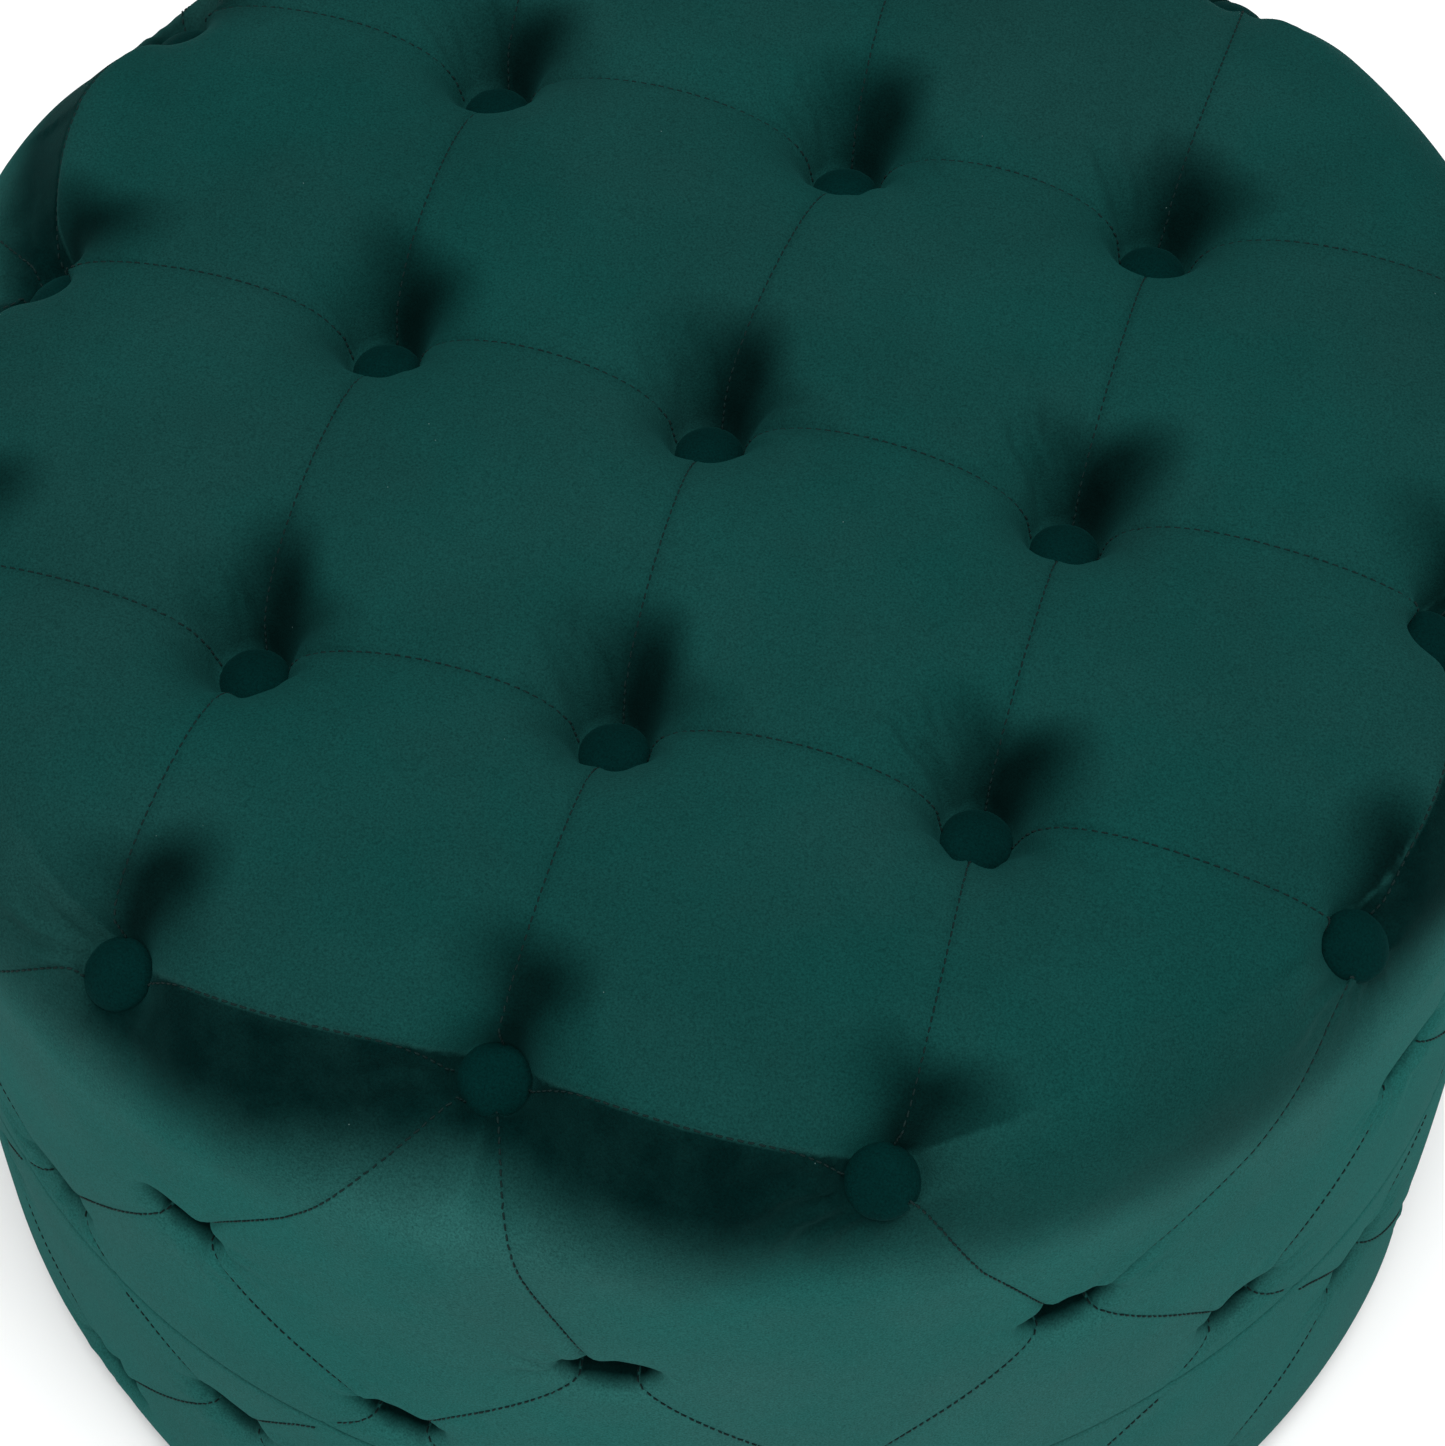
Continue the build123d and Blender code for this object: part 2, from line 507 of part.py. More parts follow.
with BuildPart() as base_twine:
    with Locations(*row_frames(3, BASE_WALL_RI + 1.6), *row_frames(4, BASE_WALL_RI + 1.6)):
        add(side_twine_base.part)
base_twine.part.label = "base_twine"
export_step(base_twine.part, "parts/base_twine.step")

with BuildPart() as base_washers:
    with Locations(*row_frames(3, BASE_WALL_RI + RECESS_D - WASHER_T - 0.05), *row_frames(4, BASE_WALL_RI + RECESS_D - WASHER_T - 0.05)):
        add(washer.part)
base_washers.part.label = "base_washers"
export_step(base_washers.part, "parts/base_washers.step")

# ---------------------------------------------------------------------------
# Tub lining, floor pad, dust cover, glides
# ---------------------------------------------------------------------------
with BuildPart() as base_lining:
    with BuildSketch(Plane.XZ):
        with BuildLine():
            Polyline(
                (SLEEVE_RI - 0.1, FLOOR_Z1), (SLEEVE_RI - 0.1, SLEEVE_TOP + 0.1), (BASE_WALL_RI - 1.8, SLEEVE_TOP + 0.1),
                (BASE_WALL_RI - 1.8, SLEEVE_TOP + 0.1 + LINING_T), (SLEEVE_RI - 0.1 - LINING_T, SLEEVE_TOP + 0.1 + LINING_T),
                (SLEEVE_RI - 0.1 - LINING_T, FLOOR_Z1), (SLEEVE_RI - 0.1, FLOOR_Z1),
            )
        make_face()
    revolve(axis=Axis.Z)
base_lining.part.label = "base_lining"
export_step(base_lining.part, "parts/base_lining.step")

with BuildPart() as floor_pad:
    with BuildSketch(Plane.XY.offset(FLOOR_Z1)):
        Circle(SLEEVE_RI - LINING_T - 0.6)
    extrude(amount=PAD_T)
    fillet(floor_pad.edges().sort_by(Axis.Z)[-1], 1.0)
floor_pad.part.label = "floor_pad"
export_step(floor_pad.part, "parts/floor_pad.step")

with BuildPart() as dust_cover:
    with BuildSketch(Plane.XY.offset(DUST_Z0)):
        Circle(BASE_WALL_RO - 8)
    extrude(amount=DUST_Z1 - DUST_Z0)
    with Locations(*[Plane(origin=(p.origin.X, p.origin.Y, DUST_Z0), z_dir=(0, 0, 1)) for p in glide_planes]):
        Cylinder(1.75, 2, align=(Align.CENTER, Align.CENTER, Align.MIN), mode=Mode.SUBTRACT)
dust_cover.part.label = "dust_cover"
export_step(dust_cover.part, "parts/dust_cover.step")

with BuildPart() as dust_cover_staples:
    for k in range(STAPLES):
        a = 5.0 + k * 360.0 / STAPLES
        with BuildSketch(Plane(origin=(266.0 * cos(radians(a)), 266.0 * sin(radians(a)), DUST_Z0), x_dir=(cos(radians(a + 80)), sin(radians(a + 80)), 0), z_dir=(0, 0, -1))):
            SlotOverall(10.0, 1.2)
        extrude(amount=0.7)
dust_cover_staples.part.label = "dust_cover_staples"
export_step(dust_cover_staples.part, "parts/dust_cover_staples.step")

# moulded glide: a dished foot with a countersunk hole from below
with BuildPart() as glide:
    with BuildSketch(Plane.XZ):
        with BuildLine():
            Line((1.85, GLIDE_H), (GLIDE_R, GLIDE_H))
            Line((GLIDE_R, GLIDE_H), (GLIDE_R, 2.5))
            ThreePointArc((GLIDE_R, 2.5), (GLIDE_R - 0.75, 0.75), (GLIDE_R - 2.5, 0))
            Polyline((GLIDE_R - 2.5, 0), (7.0, 0), (7.0, 2.4), (3.6, 2.4), (1.85, 4.2), (1.85, GLIDE_H))
        make_face()
    revolve(axis=Axis.Z)

with BuildPart() as glides:
    with Locations(*glide_planes):
        add(glide.part)
glides.part.label = "glides"
export_step(glides.part, "parts/glides.step")

with BuildPart() as glide_screws:
    with Locations(*[Plane(origin=(p.origin.X, p.origin.Y, 2.3), z_dir=(0, 0, -1)) for p in glide_planes]):
        add(short_screw.part)
glide_screws.part.label = "glide_screws"
export_step(glide_screws.part, "parts/glide_screws.step")
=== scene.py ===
import bpy
import bmesh
import math
import numpy as np
from mathutils import Vector, Matrix
from mathutils.geometry import delaunay_2d_cdt
from mathutils.kdtree import KDTree


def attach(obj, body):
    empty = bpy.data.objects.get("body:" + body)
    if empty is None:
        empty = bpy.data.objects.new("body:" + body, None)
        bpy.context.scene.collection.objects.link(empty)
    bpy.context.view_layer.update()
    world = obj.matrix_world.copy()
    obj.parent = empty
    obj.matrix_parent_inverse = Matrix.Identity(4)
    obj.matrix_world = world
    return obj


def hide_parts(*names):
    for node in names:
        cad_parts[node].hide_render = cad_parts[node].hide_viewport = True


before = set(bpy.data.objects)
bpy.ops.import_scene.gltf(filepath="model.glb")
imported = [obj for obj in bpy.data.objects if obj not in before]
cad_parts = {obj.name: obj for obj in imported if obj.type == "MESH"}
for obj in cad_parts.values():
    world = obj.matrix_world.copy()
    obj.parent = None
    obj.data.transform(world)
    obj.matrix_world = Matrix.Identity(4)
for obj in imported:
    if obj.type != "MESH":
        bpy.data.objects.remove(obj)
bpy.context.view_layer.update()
scene = bpy.context.scene

# ---------------------------------------------------------------------------
# Sizes, in millimetres until a mesh is made. They repeat the CAD's.
# ---------------------------------------------------------------------------
OUTER_R, CROWN_Z, HEM_Z, RIM_ARC, SPLIT_Z = 317.5, 460.0, 6.0, 82.0, 192.0
PITCH, GRID_X, GRID_Y = 131.0, 5.5, 0.5
SEAT_BUTTON_Z, RING_TILT = 421.0, 25.0
BUTTON_R, BUTTON_H, SIDE_BUTTON_H = 13.0, 9.0, 8.0
LID_BACK_R, BASE_BACK_R = 284.0, 282.0
ROW_Z = {1: 309.6, 2: 224.5, 3: 139.4, 4: 54.2}
ROW_A0 = {1: -109.5, 2: -94.5, 3: -109.5, 4: -94.5}
SEAT_BUTTONS = [
    (-1, 2, 0.5, -1.0), (0, 2, -1.5, 1.0), (1, 2, -0.7, 1.3),
    (-2, 1, 0.4, -2.0), (-1, 1, -1.0, 2.2), (0, 1, 7.3, 2.3), (1, 1, -3.2, -1.2), (2, 1, 1.0, 1.5),
    (-2, 0, -0.3, -1.7), (-1, 0, -0.2, 3.3), (0, 0, -6.0, 1.1), (1, 0, -2.4, -3.5), (2, 0, 3.0, -3.9),
    (-2, -1, 1.5, -1.0), (-1, -1, 0.7, -7.2), (0, -1, 0.2, -0.2), (1, -1, -1.2, 2.3), (2, -1, 2.9, -1.4),
    (-1, -2, -2.7, -3.0), (0, -2, 1.3, -4.6), (1, -2, 4.2, -2.6),
]
PIN_R = 12.2             # the velvet passes under a button inside this radius

rng = np.random.default_rng(20817)


# ---------------------------------------------------------------------------
# The skin's chart. A line down the side of the seat is measured by s, from the
# middle of the top, over the rim and down to the hem. The chart is a plane in
# which angles are kept: a point at (s, theta) lies at radius chart_r(s).
# ---------------------------------------------------------------------------
CHART_IN = 17.0          # the chart is taken from a surface this far inside the crowns
SKIN_END_Z = 13.0
FACET = 50.0             # slope of the shoulder outside the seat's outer seams, degrees
TURN_R = 54.0            # how it turns down into the wall
FALL, FALL_W = 1.0, 40.0   # the top falls away a little towards the outer seams
JOIN_R, JOIN_Z = 190.0, 372.0


def blur(v, x, width):
    """Running mean of v over a distance of width along x."""
    c = np.concatenate([[0], np.cumsum((v[1:] + v[:-1]) / 2 * np.diff(x))])
    a = np.interp(x - width / 2, x, c)
    b = np.interp(x + width / 2, x, c)
    return (b - a) / (np.minimum(x + width / 2, x[-1]) - np.maximum(x - width / 2, x[0]))


def build_profile(ring_r, rounding):
    """The line over which the crowns of the puffs lie: a gently falling top, a slanted shoulder outside the
    outer seams at ring_r, a quick turn, the wall. Returned for even steps of its length."""
    t_f = math.radians(FACET)
    turn_r = TURN_R
    r_f = OUTER_R - turn_r * (1 - math.sin(t_f))
    R = np.linspace(0, ring_r, 800)
    u = np.clip((R - ring_r + FALL_W) / FALL_W, 0, 1)
    z = CROWN_Z - 7.0 * (R / 262.0) ** 3 - FALL * u * u * (3 - 2 * u)
    Rf = np.linspace(ring_r, r_f, 200)[1:]
    zf = z[-1] - (Rf - ring_r) * math.tan(t_f)
    tt = np.linspace(t_f, math.pi / 2, 120)[1:]
    Rt = r_f + turn_r * (np.sin(tt) - math.sin(t_f))
    zt = zf[-1] - turn_r * (math.cos(t_f) - np.cos(tt))
    zw = np.linspace(zt[-1], SKIN_END_Z - 2.0, 1200)[1:]
    R, z = np.concatenate([R, Rf, Rt, np.full(len(zw), OUTER_R)]), np.concatenate([z, zf, zt, zw])
    length = np.concatenate([[0], np.cumsum(np.hypot(np.diff(R), np.diff(z)))])
    even = np.linspace(0, length[-1], 4001)
    R, z = np.interp(even, length, R), np.interp(even, length, z)
    tilt = blur(np.unwrap(np.arctan2(-np.gradient(z, even), np.gradient(R, even))), even, rounding)
    dR, dz = np.cos(tilt), -np.sin(tilt)
    R = np.concatenate([[0], np.cumsum((dR[1:] + dR[:-1]) / 2 * np.diff(even))])
    z = CROWN_Z + np.concatenate([[0], np.cumsum((dz[1:] + dz[:-1]) / 2 * np.diff(even))])
    # rounding the corners moves the wall out a little: draw it in again
    wall = np.clip((R - 200) / (R[-1] - 200), 0, None)
    R = R - (R[-1] - OUTER_R) * wall
    return even, R, z, tilt


# the chart comes from the middle one of these profiles
_e, _ER, _EZ, _ET = build_profile(276.0, 34.0)
_CR, _CZ = _ER - CHART_IN * np.sin(_ET), _EZ - CHART_IN * np.cos(_ET)
_s = np.concatenate([[0], np.cumsum(np.hypot(np.diff(_CR), np.diff(_CZ)))])
_keep = np.concatenate([[True], np.diff(_s) > 1e-9])
_ER, _EZ, _ET, _CR, _CZ, _s = (v[_keep] for v in (_ER, _EZ, _ET, _CR, _CZ, _s))
_k0 = int(np.searchsorted(_s, 60.0))
_inv = 1.0 / np.maximum(_CR, 1e-6)
_cum = np.concatenate([[0], np.cumsum((_inv[1:] + _inv[:-1]) / 2 * np.diff(_s))])
_r = np.where(_s < _s[_k0], _s, np.exp(_cum - _cum[_k0] + math.log(_s[_k0])))
C_WALL = OUTER_R - CHART_IN
_j0, _j1 = int(np.argmax(_ER > JOIN_R)), int(np.argmax((_EZ < JOIN_Z) & (_ER > 300)))
S_J0, S_J1 = _s[_j0], _s[_j1]
RINGS = np.linspace(250.0, 303.0, 19)


def on_chart(profile):
    """A profile's radius, height and slope as functions of the chart's s."""
    e, R, z, t = profile
    e0 = e[int(np.argmax(R > JOIN_R))]
    e1 = e[int(np.argmax((z < JOIN_Z) & (R > 300)))]
    s = np.where(e < e0, e * S_J0 / e0, np.where(e < e1, S_J0 + (S_J1 - S_J0) * (e - e0) / (e1 - e0), S_J1 + (e - e1)))
    return np.stack([np.interp(_s, s, R), np.interp(_s, s, z), np.interp(_s, s, t)])


CRISP = np.stack([on_chart(build_profile(r, 7.0)) for r in RINGS])
SOFT = np.stack([on_chart(build_profile(r, 56.0)) for r in RINGS])


def s_at_z(z):
    """s of a height on the wall."""
    return S_J1 + JOIN_Z - z


S_SPLIT = s_at_z(SPLIT_Z)
S_HEM = s_at_z(SKIN_END_Z)


def chart_r(s):
    return np.interp(s, _s, _r)


def s_of_r(r):
    return np.interp(r, _r, _s)


def radius_of(s):
    return np.interp(s, _s, _CR)


def scale_of(s):
    """Chart length per millimetre of skin."""
    return np.where(np.asarray(s) < 60, 1.0, chart_r(s) / np.maximum(radius_of(s), 1.0))


def to_chart(s, th):
    r = chart_r(s)
    return np.stack([r * np.cos(th), r * np.sin(th)], -1)


RING_BOW = 11.5          # the outer seams bow out this far between their buttons
RING_OUT = 10.5          # the outer buttons are sewn to the cloth this far outside the shoulder's edge

# the outer ring of seat buttons, round which the shoulder starts
_ring_pts = []
for i, j, dx, dy in SEAT_BUTTONS:
    if max(abs(i), abs(j)) == 2:
        _ring_pts.append((GRID_X + PITCH * i + dx, GRID_Y + PITCH * j + dy, i, j))
_ring_pts.sort(key=lambda v: math.atan2(v[1], v[0]))
_az, _rad, _cor = [], [], []
for n, (x0, y0, i0, j0) in enumerate(_ring_pts):
    x1, y1, i1, j1 = _ring_pts[(n + 1) % len(_ring_pts)]
    corner = abs(i0) + abs(j0) == 3 and abs(i1) + abs(j1) == 3 and not (i0 == i1 or j0 == j1)
    for t in np.linspace(0, 1, 20, endpoint=False):
        x, y = x0 + (x1 - x0) * t, y0 + (y1 - y0) * t
        _az.append(math.atan2(y, x))
        _rad.append(min(302.5, math.hypot(x, y) + math.sin(math.pi * t) ** 0.7 * RING_BOW))
        _cor.append(math.sin(math.pi * t) ** 0.6 if corner else 0.0)
_order = np.argsort(_az)
_az, _rad, _cor = (np.array(v)[_order] for v in (_az, _rad, _cor))
_az3 = np.concatenate([_az - 2 * math.pi, _az, _az + 2 * math.pi])


def ring_radius(th):
    return np.interp(th, _az3, np.tile(_rad, 3)), np.interp(th, _az3, np.tile(_cor, 3))


def profile_at(s, th):
    """Radius, height and slope of the crowns' surface."""
    s, th = np.broadcast_arrays(np.asarray(s, float), np.asarray(th, float))
    th = (th + math.pi) % (2 * math.pi) - math.pi
    rr_, cc = ring_radius(th)
    k = np.clip((rr_ - RINGS[0]) / (RINGS[1] - RINGS[0]), 0, len(RINGS) - 1.001)
    k0 = k.astype(int)
    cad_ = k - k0
    m = np.clip(np.interp(s, _s, np.arange(len(_s))), 0, len(_s) - 1.001)
    m0 = m.astype(int)
    fm = m - m0
    out = []
    for c in range(3):
        v = []
        for T in (CRISP, SOFT):
            a = T[k0, c, m0] * (1 - fm) + T[k0, c, m0 + 1] * fm
            b = T[k0 + 1, c, m0] * (1 - fm) + T[k0 + 1, c, m0 + 1] * fm
            v.append(a * (1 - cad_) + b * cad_)
        out.append(v[0] * (1 - cc) + v[1] * cc)
    return out


def envelope(s, th):
    """The surface that the crowns of the puffs reach."""
    R, z, t = profile_at(s, th)
    # the side draws in towards the hem
    low = np.clip((46.0 - z) / 46.0, 0, 1)
    R = R - 9.0 * low**2.2
    return np.stack([R * np.cos(th), R * np.sin(th), z], -1)


def s_edge(th):
    """s of the edge between the top and the shoulder."""
    ss = np.linspace(S_J0, S_J1, 1500)
    ER = profile_at(ss, np.full(len(ss), th))[0]
    k = int(np.argmax(ER >= ring_radius(th)[0]))
    return float(ss[k])


def s_near(R, z, th):
    """s of the point of the crowns' surface nearest to a place inside it."""
    ss = np.linspace(0, s_at_z(300.0), 3000)
    ER, EZ, _ = profile_at(ss, np.full(len(ss), th))
    return float(ss[np.argmin((ER - R) ** 2 + (EZ - z) ** 2)])


# ---------------------------------------------------------------------------
# Tufts: place, normal and the directions down and round
# ---------------------------------------------------------------------------
class Tuft:
    pass


tufts = []
seat_index, side_index = {}, {}
for i, j, dx, dy in SEAT_BUTTONS:
    x, y = GRID_X + PITCH * i + dx, GRID_Y + PITCH * j + dy
    th = math.atan2(y, x)
    ring = max(abs(i), abs(j)) == 2
    t = math.radians(RING_TILT) if ring else 0.0
    n = np.array([math.sin(t) * math.cos(th), math.sin(t) * math.sin(th), math.cos(t)])
    f = Tuft()
    f.kind, f.key = "seat", (i, j)
    f.n = n
    f.back = np.array([x, y, SEAT_BUTTON_Z]) - BUTTON_H * n
    f.pin = f.back + 2.4 * n
    f.th = th
    R, z = math.hypot(f.pin[0], f.pin[1]), f.pin[2]
    f.s = s_edge(th) + RING_OUT if ring else s_near(R, z, th)
    f.down = np.array([math.cos(t) * math.cos(th), math.cos(t) * math.sin(th), -math.sin(t)])
    f.round = np.array([-math.sin(th), math.cos(th), 0.0])
    seat_index[(i, j)] = len(tufts)
    tufts.append(f)
for row in (1, 2, 3, 4):
    for k in range(12):
        a = math.radians(ROW_A0[row] + 30.0 * k)
        R = LID_BACK_R if row < 3 else BASE_BACK_R
        f = Tuft()
        f.kind, f.key = "side", (row, k)
        f.n = np.array([math.cos(a), math.sin(a), 0.0])
        f.back = np.array([R * math.cos(a), R * math.sin(a), ROW_Z[row]])
        f.pin = f.back + 2.0 * f.n
        f.th = a
        f.s = s_at_z(ROW_Z[row])
        f.down = np.array([0.0, 0.0, -1.0])
        f.round = np.array([-math.sin(a), math.cos(a), 0.0])
        side_index[(row, k)] = len(tufts)
        tufts.append(f)
for f in tufts:
    f.c = to_chart(np.array(f.s), np.array(f.th))
    f.scale = float(scale_of(np.array(f.s)))
    f.radial = np.array([math.cos(f.th), math.sin(f.th)])
    f.tang = np.array([-math.sin(f.th), math.cos(f.th)])
    f.env = envelope(np.array(f.s), np.array(f.th))

# ---------------------------------------------------------------------------
# Seams: square panels on the seat, diamonds round the side
# ---------------------------------------------------------------------------
seams = []
for (i, j), a in seat_index.items():
    for di, dj in ((1, 0), (0, 1)):
        b = seat_index.get((i + di, j + dj))
        if b is not None:
            rim_line = max(abs(i), abs(j)) == 2 and max(abs(i + di), abs(j + dj)) == 2
            seams.append((a, b, "ring" if rim_line else "top"))


def side_at(row, deg):
    k = round((deg - ROW_A0[row]) / 30.0) % 12
    return side_index[(row, k)]


# each mid-rim button is sewn to the two side tufts below it, each corner one to one
for key, degs in {
    (0, -2): (-109.5, -79.5), (2, 0): (-19.5, 10.5), (0, 2): (70.5, 100.5), (-2, 0): (160.5, 190.5),
    (1, -2): (-49.5,), (2, -1): (-49.5,), (2, 1): (40.5,), (1, 2): (40.5,),
    (-1, 2): (130.5,), (-2, 1): (130.5,), (-2, -1): (220.5,), (-1, -2): (220.5,),
}.items():
    for d in degs:
        seams.append((seat_index[key], side_at(1, d), "rim"))
for row in (1, 2, 3):
    for k in range(12):
        deg = ROW_A0[row] + 30.0 * k
        for d in (-15.0, 15.0):
            seams.append((side_index[(row, k)], side_at(row + 1, deg + d), "side"))


def seam_line(a, b, step, kind):
    """Points along a seam in the chart, evenly spaced, from the edge of one button to the other."""
    fa, fb = tufts[a], tufts[b]
    m = 200
    t = np.linspace(0, 1, m)
    if kind == "ring":
        # along the shoulder's edge
        xy = fa.back[None, :2] * (1 - t[:, None]) + fb.back[None, :2] * t[:, None]
        th = np.arctan2(xy[:, 1], xy[:, 0])
        long = float(np.linalg.norm(fb.back[:2] - fa.back[:2]))
        out = np.exp(-(t * long / 20.0) ** 2) + np.exp(-((1 - t) * long / 20.0) ** 2)
        line = to_chart(np.array([s_edge(v) for v in th]) + 1.5 + (RING_OUT - 1.5) * out, th)
    elif fa.kind == "seat" and fb.kind == "seat":
        line = fa.c[None] * (1 - t[:, None]) + fb.c[None] * t[:, None]
    else:
        dth = (fb.th - fa.th + math.pi) % (2 * math.pi) - math.pi
        line = to_chart(fa.s + (fb.s - fa.s) * t, fa.th + dth * t)
    r = np.hypot(line[:, 0], line[:, 1])
    sc = scale_of(s_of_r(r))
    seg = np.linalg.norm(np.diff(line, axis=0), axis=1) / ((sc[1:] + sc[:-1]) / 2)
    d = np.concatenate([[0], np.cumsum(seg)])
    total = d[-1]
    n = max(4, int(round((total - 2 * PIN_R) / step)))
    want = np.linspace(PIN_R, total - PIN_R, n + 1)
    pts = np.stack([np.interp(want, d, line[:, 0]), np.interp(want, d, line[:, 1])], -1)
    return pts, (want - PIN_R) / (total - 2 * PIN_R), total


# ---------------------------------------------------------------------------
# Points of the skin: fine round the buttons and along the seams
# ---------------------------------------------------------------------------
FINE = 1.7
COARSE = 3.0
tuft_c = np.array([f.c for f in tufts])
tuft_scale = np.array([f.scale for f in tufts])

points, tag, seam_of, seam_t = [], [], [], []      # tag: 0 free, 1 seam, 2 split, 3 hem, 4 pinned
edges = []


def put(p, t, so=-1, st=0.0):
    points.append((float(p[0]), float(p[1])))
    tag.append(t)
    seam_of.append(so)
    seam_t.append(st)
    return len(points) - 1


BESIDE = 0.95            # the cloth turns down into a seam this far from it
beside, seam_ids = [], []
for n_s, (a, b, kind) in enumerate(seams):
    pts, t, total = seam_line(a, b, 2.3, kind)
    ids = [put(p, 1, n_s, tt) for p, tt in zip(pts, t)]
    edges += list(zip(ids[:-1], ids[1:]))
    seam_ids.append(ids)
    along = np.gradient(pts, axis=0)
    along /= np.linalg.norm(along, axis=1, keepdims=True)
    across = np.stack([-along[:, 1], along[:, 0]], -1) * scale_of(s_of_r(np.hypot(pts[:, 0], pts[:, 1])))[:, None]
    for k in range(len(pts)):
        if min(k, len(pts) - 1 - k) * 2.3 > 2.0:
            for side in (-1, 1):
                beside.append((pts[k] + side * BESIDE * across[k], n_s, t[k]))

# where a seam crosses the line between lid and tub it must share a point with it
split_r, hem_r = float(chart_r(S_SPLIT)), float(chart_r(S_HEM))
cross = []
for n_e, (p, q) in enumerate(edges):
    rp, rq = math.hypot(*points[p]), math.hypot(*points[q])
    if (rp - split_r) * (rq - split_r) < 0:
        near = p if abs(rp - split_r) < abs(rq - split_r) else q
        x, y = points[near]
        k = split_r / math.hypot(x, y)
        points[near] = (x * k, y * k)
        tag[near] = 5
        cross.append((math.atan2(y, x), near))
cross = sorted({n: a for a, n in cross}.items(), key=lambda v: v[1])
ring = []
for (n0, a0), (n1, a1) in zip(cross, cross[1:] + [(cross[0][0], cross[0][1] + 2 * math.pi)]):
    ring.append(n0)
    m = max(1, int(round((a1 - a0) * C_WALL / (2.4))))
    for k in range(1, m):
        a = a0 + (a1 - a0) * k / m
        ring.append(put((split_r * math.cos(a), split_r * math.sin(a)), 2))
split_ring = ring
edges += list(zip(ring, ring[1:] + ring[:1]))
m = int(round(2 * math.pi * C_WALL / (2.6)))
hem_ring = [put((hem_r * math.cos(2 * math.pi * k / m), hem_r * math.sin(2 * math.pi * k / m)), 3) for k in range(m)]
edges += list(zip(hem_ring, hem_ring[1:] + hem_ring[:1]))


# the rows beside the seams, kept clear of the two cut lines
for p, n_s, t in beside:
    r = math.hypot(*p)
    if abs(r - split_r) > 1.6 * split_r / C_WALL and r < hem_r - 2.0 * hem_r / C_WALL:
        put(p, 6, n_s, t)


class Near:
    """Keeps new points apart from the ones that are there, with a k-d tree over the chart."""

    def __init__(self, pts):
        self.fill(pts)

    def fill(self, pts):
        self.pts = np.array(pts)
        self.tree = KDTree(len(self.pts))
        for n, p in enumerate(self.pts):
            self.tree.insert((p[0], p[1], 0.0), n)
        self.tree.balance()

    def free(self, cand, dist):
        return [c for c, d in zip(cand, dist) if self.tree.find((c[0], c[1], 0.0))[2] > d]


def sizes_at(p):
    """Wanted spacing of the skin's points, in chart units."""
    p = np.asarray(p)
    r = np.hypot(p[:, 0], p[:, 1])
    s = s_of_r(r)
    sc = scale_of(s)
    best = np.full(len(p), 1e9)
    for c, k in zip(tuft_c, tuft_scale):
        best = np.minimum(best, np.hypot(p[:, 0] - c[0], p[:, 1] - c[1]) / k)
    h = FINE + (COARSE - FINE) * np.clip((best - 30.0) / 30.0, 0, 1)
    return h * sc, best


# rings of points round each button
fan = []
for f in tufts:
    r, n_ring = 0.0, 0
    put(f.c, 4)
    for rad, cnt in ((4.5, 7), (8.6, 14)):
        for k in range(cnt):
            a = 2 * math.pi * (k + 0.3) / cnt
            put(f.c + f.scale * rad * np.array([math.cos(a), math.sin(a)]), 4)
    r = PIN_R
    step = FINE
    while r < 44:
        cnt = int(round(2 * math.pi * r / (step * 1.02)))
        off = (n_ring % 2) * 0.5
        a = 2 * math.pi * (np.arange(cnt) + off) / cnt
        ring = f.c + f.scale * r * np.stack([np.cos(a), np.sin(a)], -1)
        fan.append((ring, np.full(cnt, f.scale * step * 0.62), r <= PIN_R + 0.01))
        r += step * 0.93
        n_ring += 1
        step = FINE + (COARSE - FINE) * max(0.0, (r - 30) / 30.0)
near = Near(points)
for ring, dist, pinned in fan:
    if pinned:
        for p in near.free(ring, dist):
            put(p, 4)
near = Near(points)
keep_r = []
for ring, dist, pinned in fan:
    if not pinned:
        keep_r += near.free(ring, dist)
keep_r = np.array(keep_r)
# a ring's points stop half way to the next button
owner = np.zeros(len(keep_r), int)
d_all = np.stack([np.hypot(keep_r[:, 0] - c[0], keep_r[:, 1] - c[1]) / k for c, k in zip(tuft_c, tuft_scale)], -1)
near_d = np.sort(d_all, axis=1)
keep_r = keep_r[near_d[:, 1] - near_d[:, 0] > 0.8]
for p in keep_r:
    put(p, 0)

# the rest: rows of points in rings of growing radius, which keeps the triangles even
fill = []
s = 0.0
row = 0
rows_s = []
while s < S_HEM - 1.0:
    rows_s.append(s)
    s += COARSE * 0.866
for row, s in enumerate(rows_s):
    R = float(radius_of(s))
    cnt = max(1, int(round(2 * math.pi * R / COARSE)))
    a = 2 * math.pi * (np.arange(cnt) + 0.5 * (row % 2)) / cnt + 0.37 * row
    fill.append(to_chart(np.full(cnt, s), a))
fill = np.concatenate(fill)
near = Near(points)
h, _ = sizes_at(fill)
for p in near.free(fill, h * 0.66):
    put(p, 0)

pts2 = np.array(points)
out = delaunay_2d_cdt([Vector(p) for p in points], edges, [], 0, 1e-6)
v2 = np.array([tuple(v) for v in out[0]])
tri = np.array([f for f in out[2] if len(f) == 3], int)
orig = [o[0] if o else -1 for o in out[3]]
orig = np.array(orig)
N = len(v2)
vtag = np.where(orig >= 0, np.array(tag)[orig], 0)
vseam = np.where(orig >= 0, np.array(seam_of)[orig], -1)
vseam_t = np.where(orig >= 0, np.array(seam_t)[orig], 0.0)
to_new = {int(o): k for k, o in enumerate(orig) if o >= 0}
rr = np.hypot(v2[:, 0], v2[:, 1])
S = s_of_r(rr)
TH = np.arctan2(v2[:, 1], v2[:, 0])
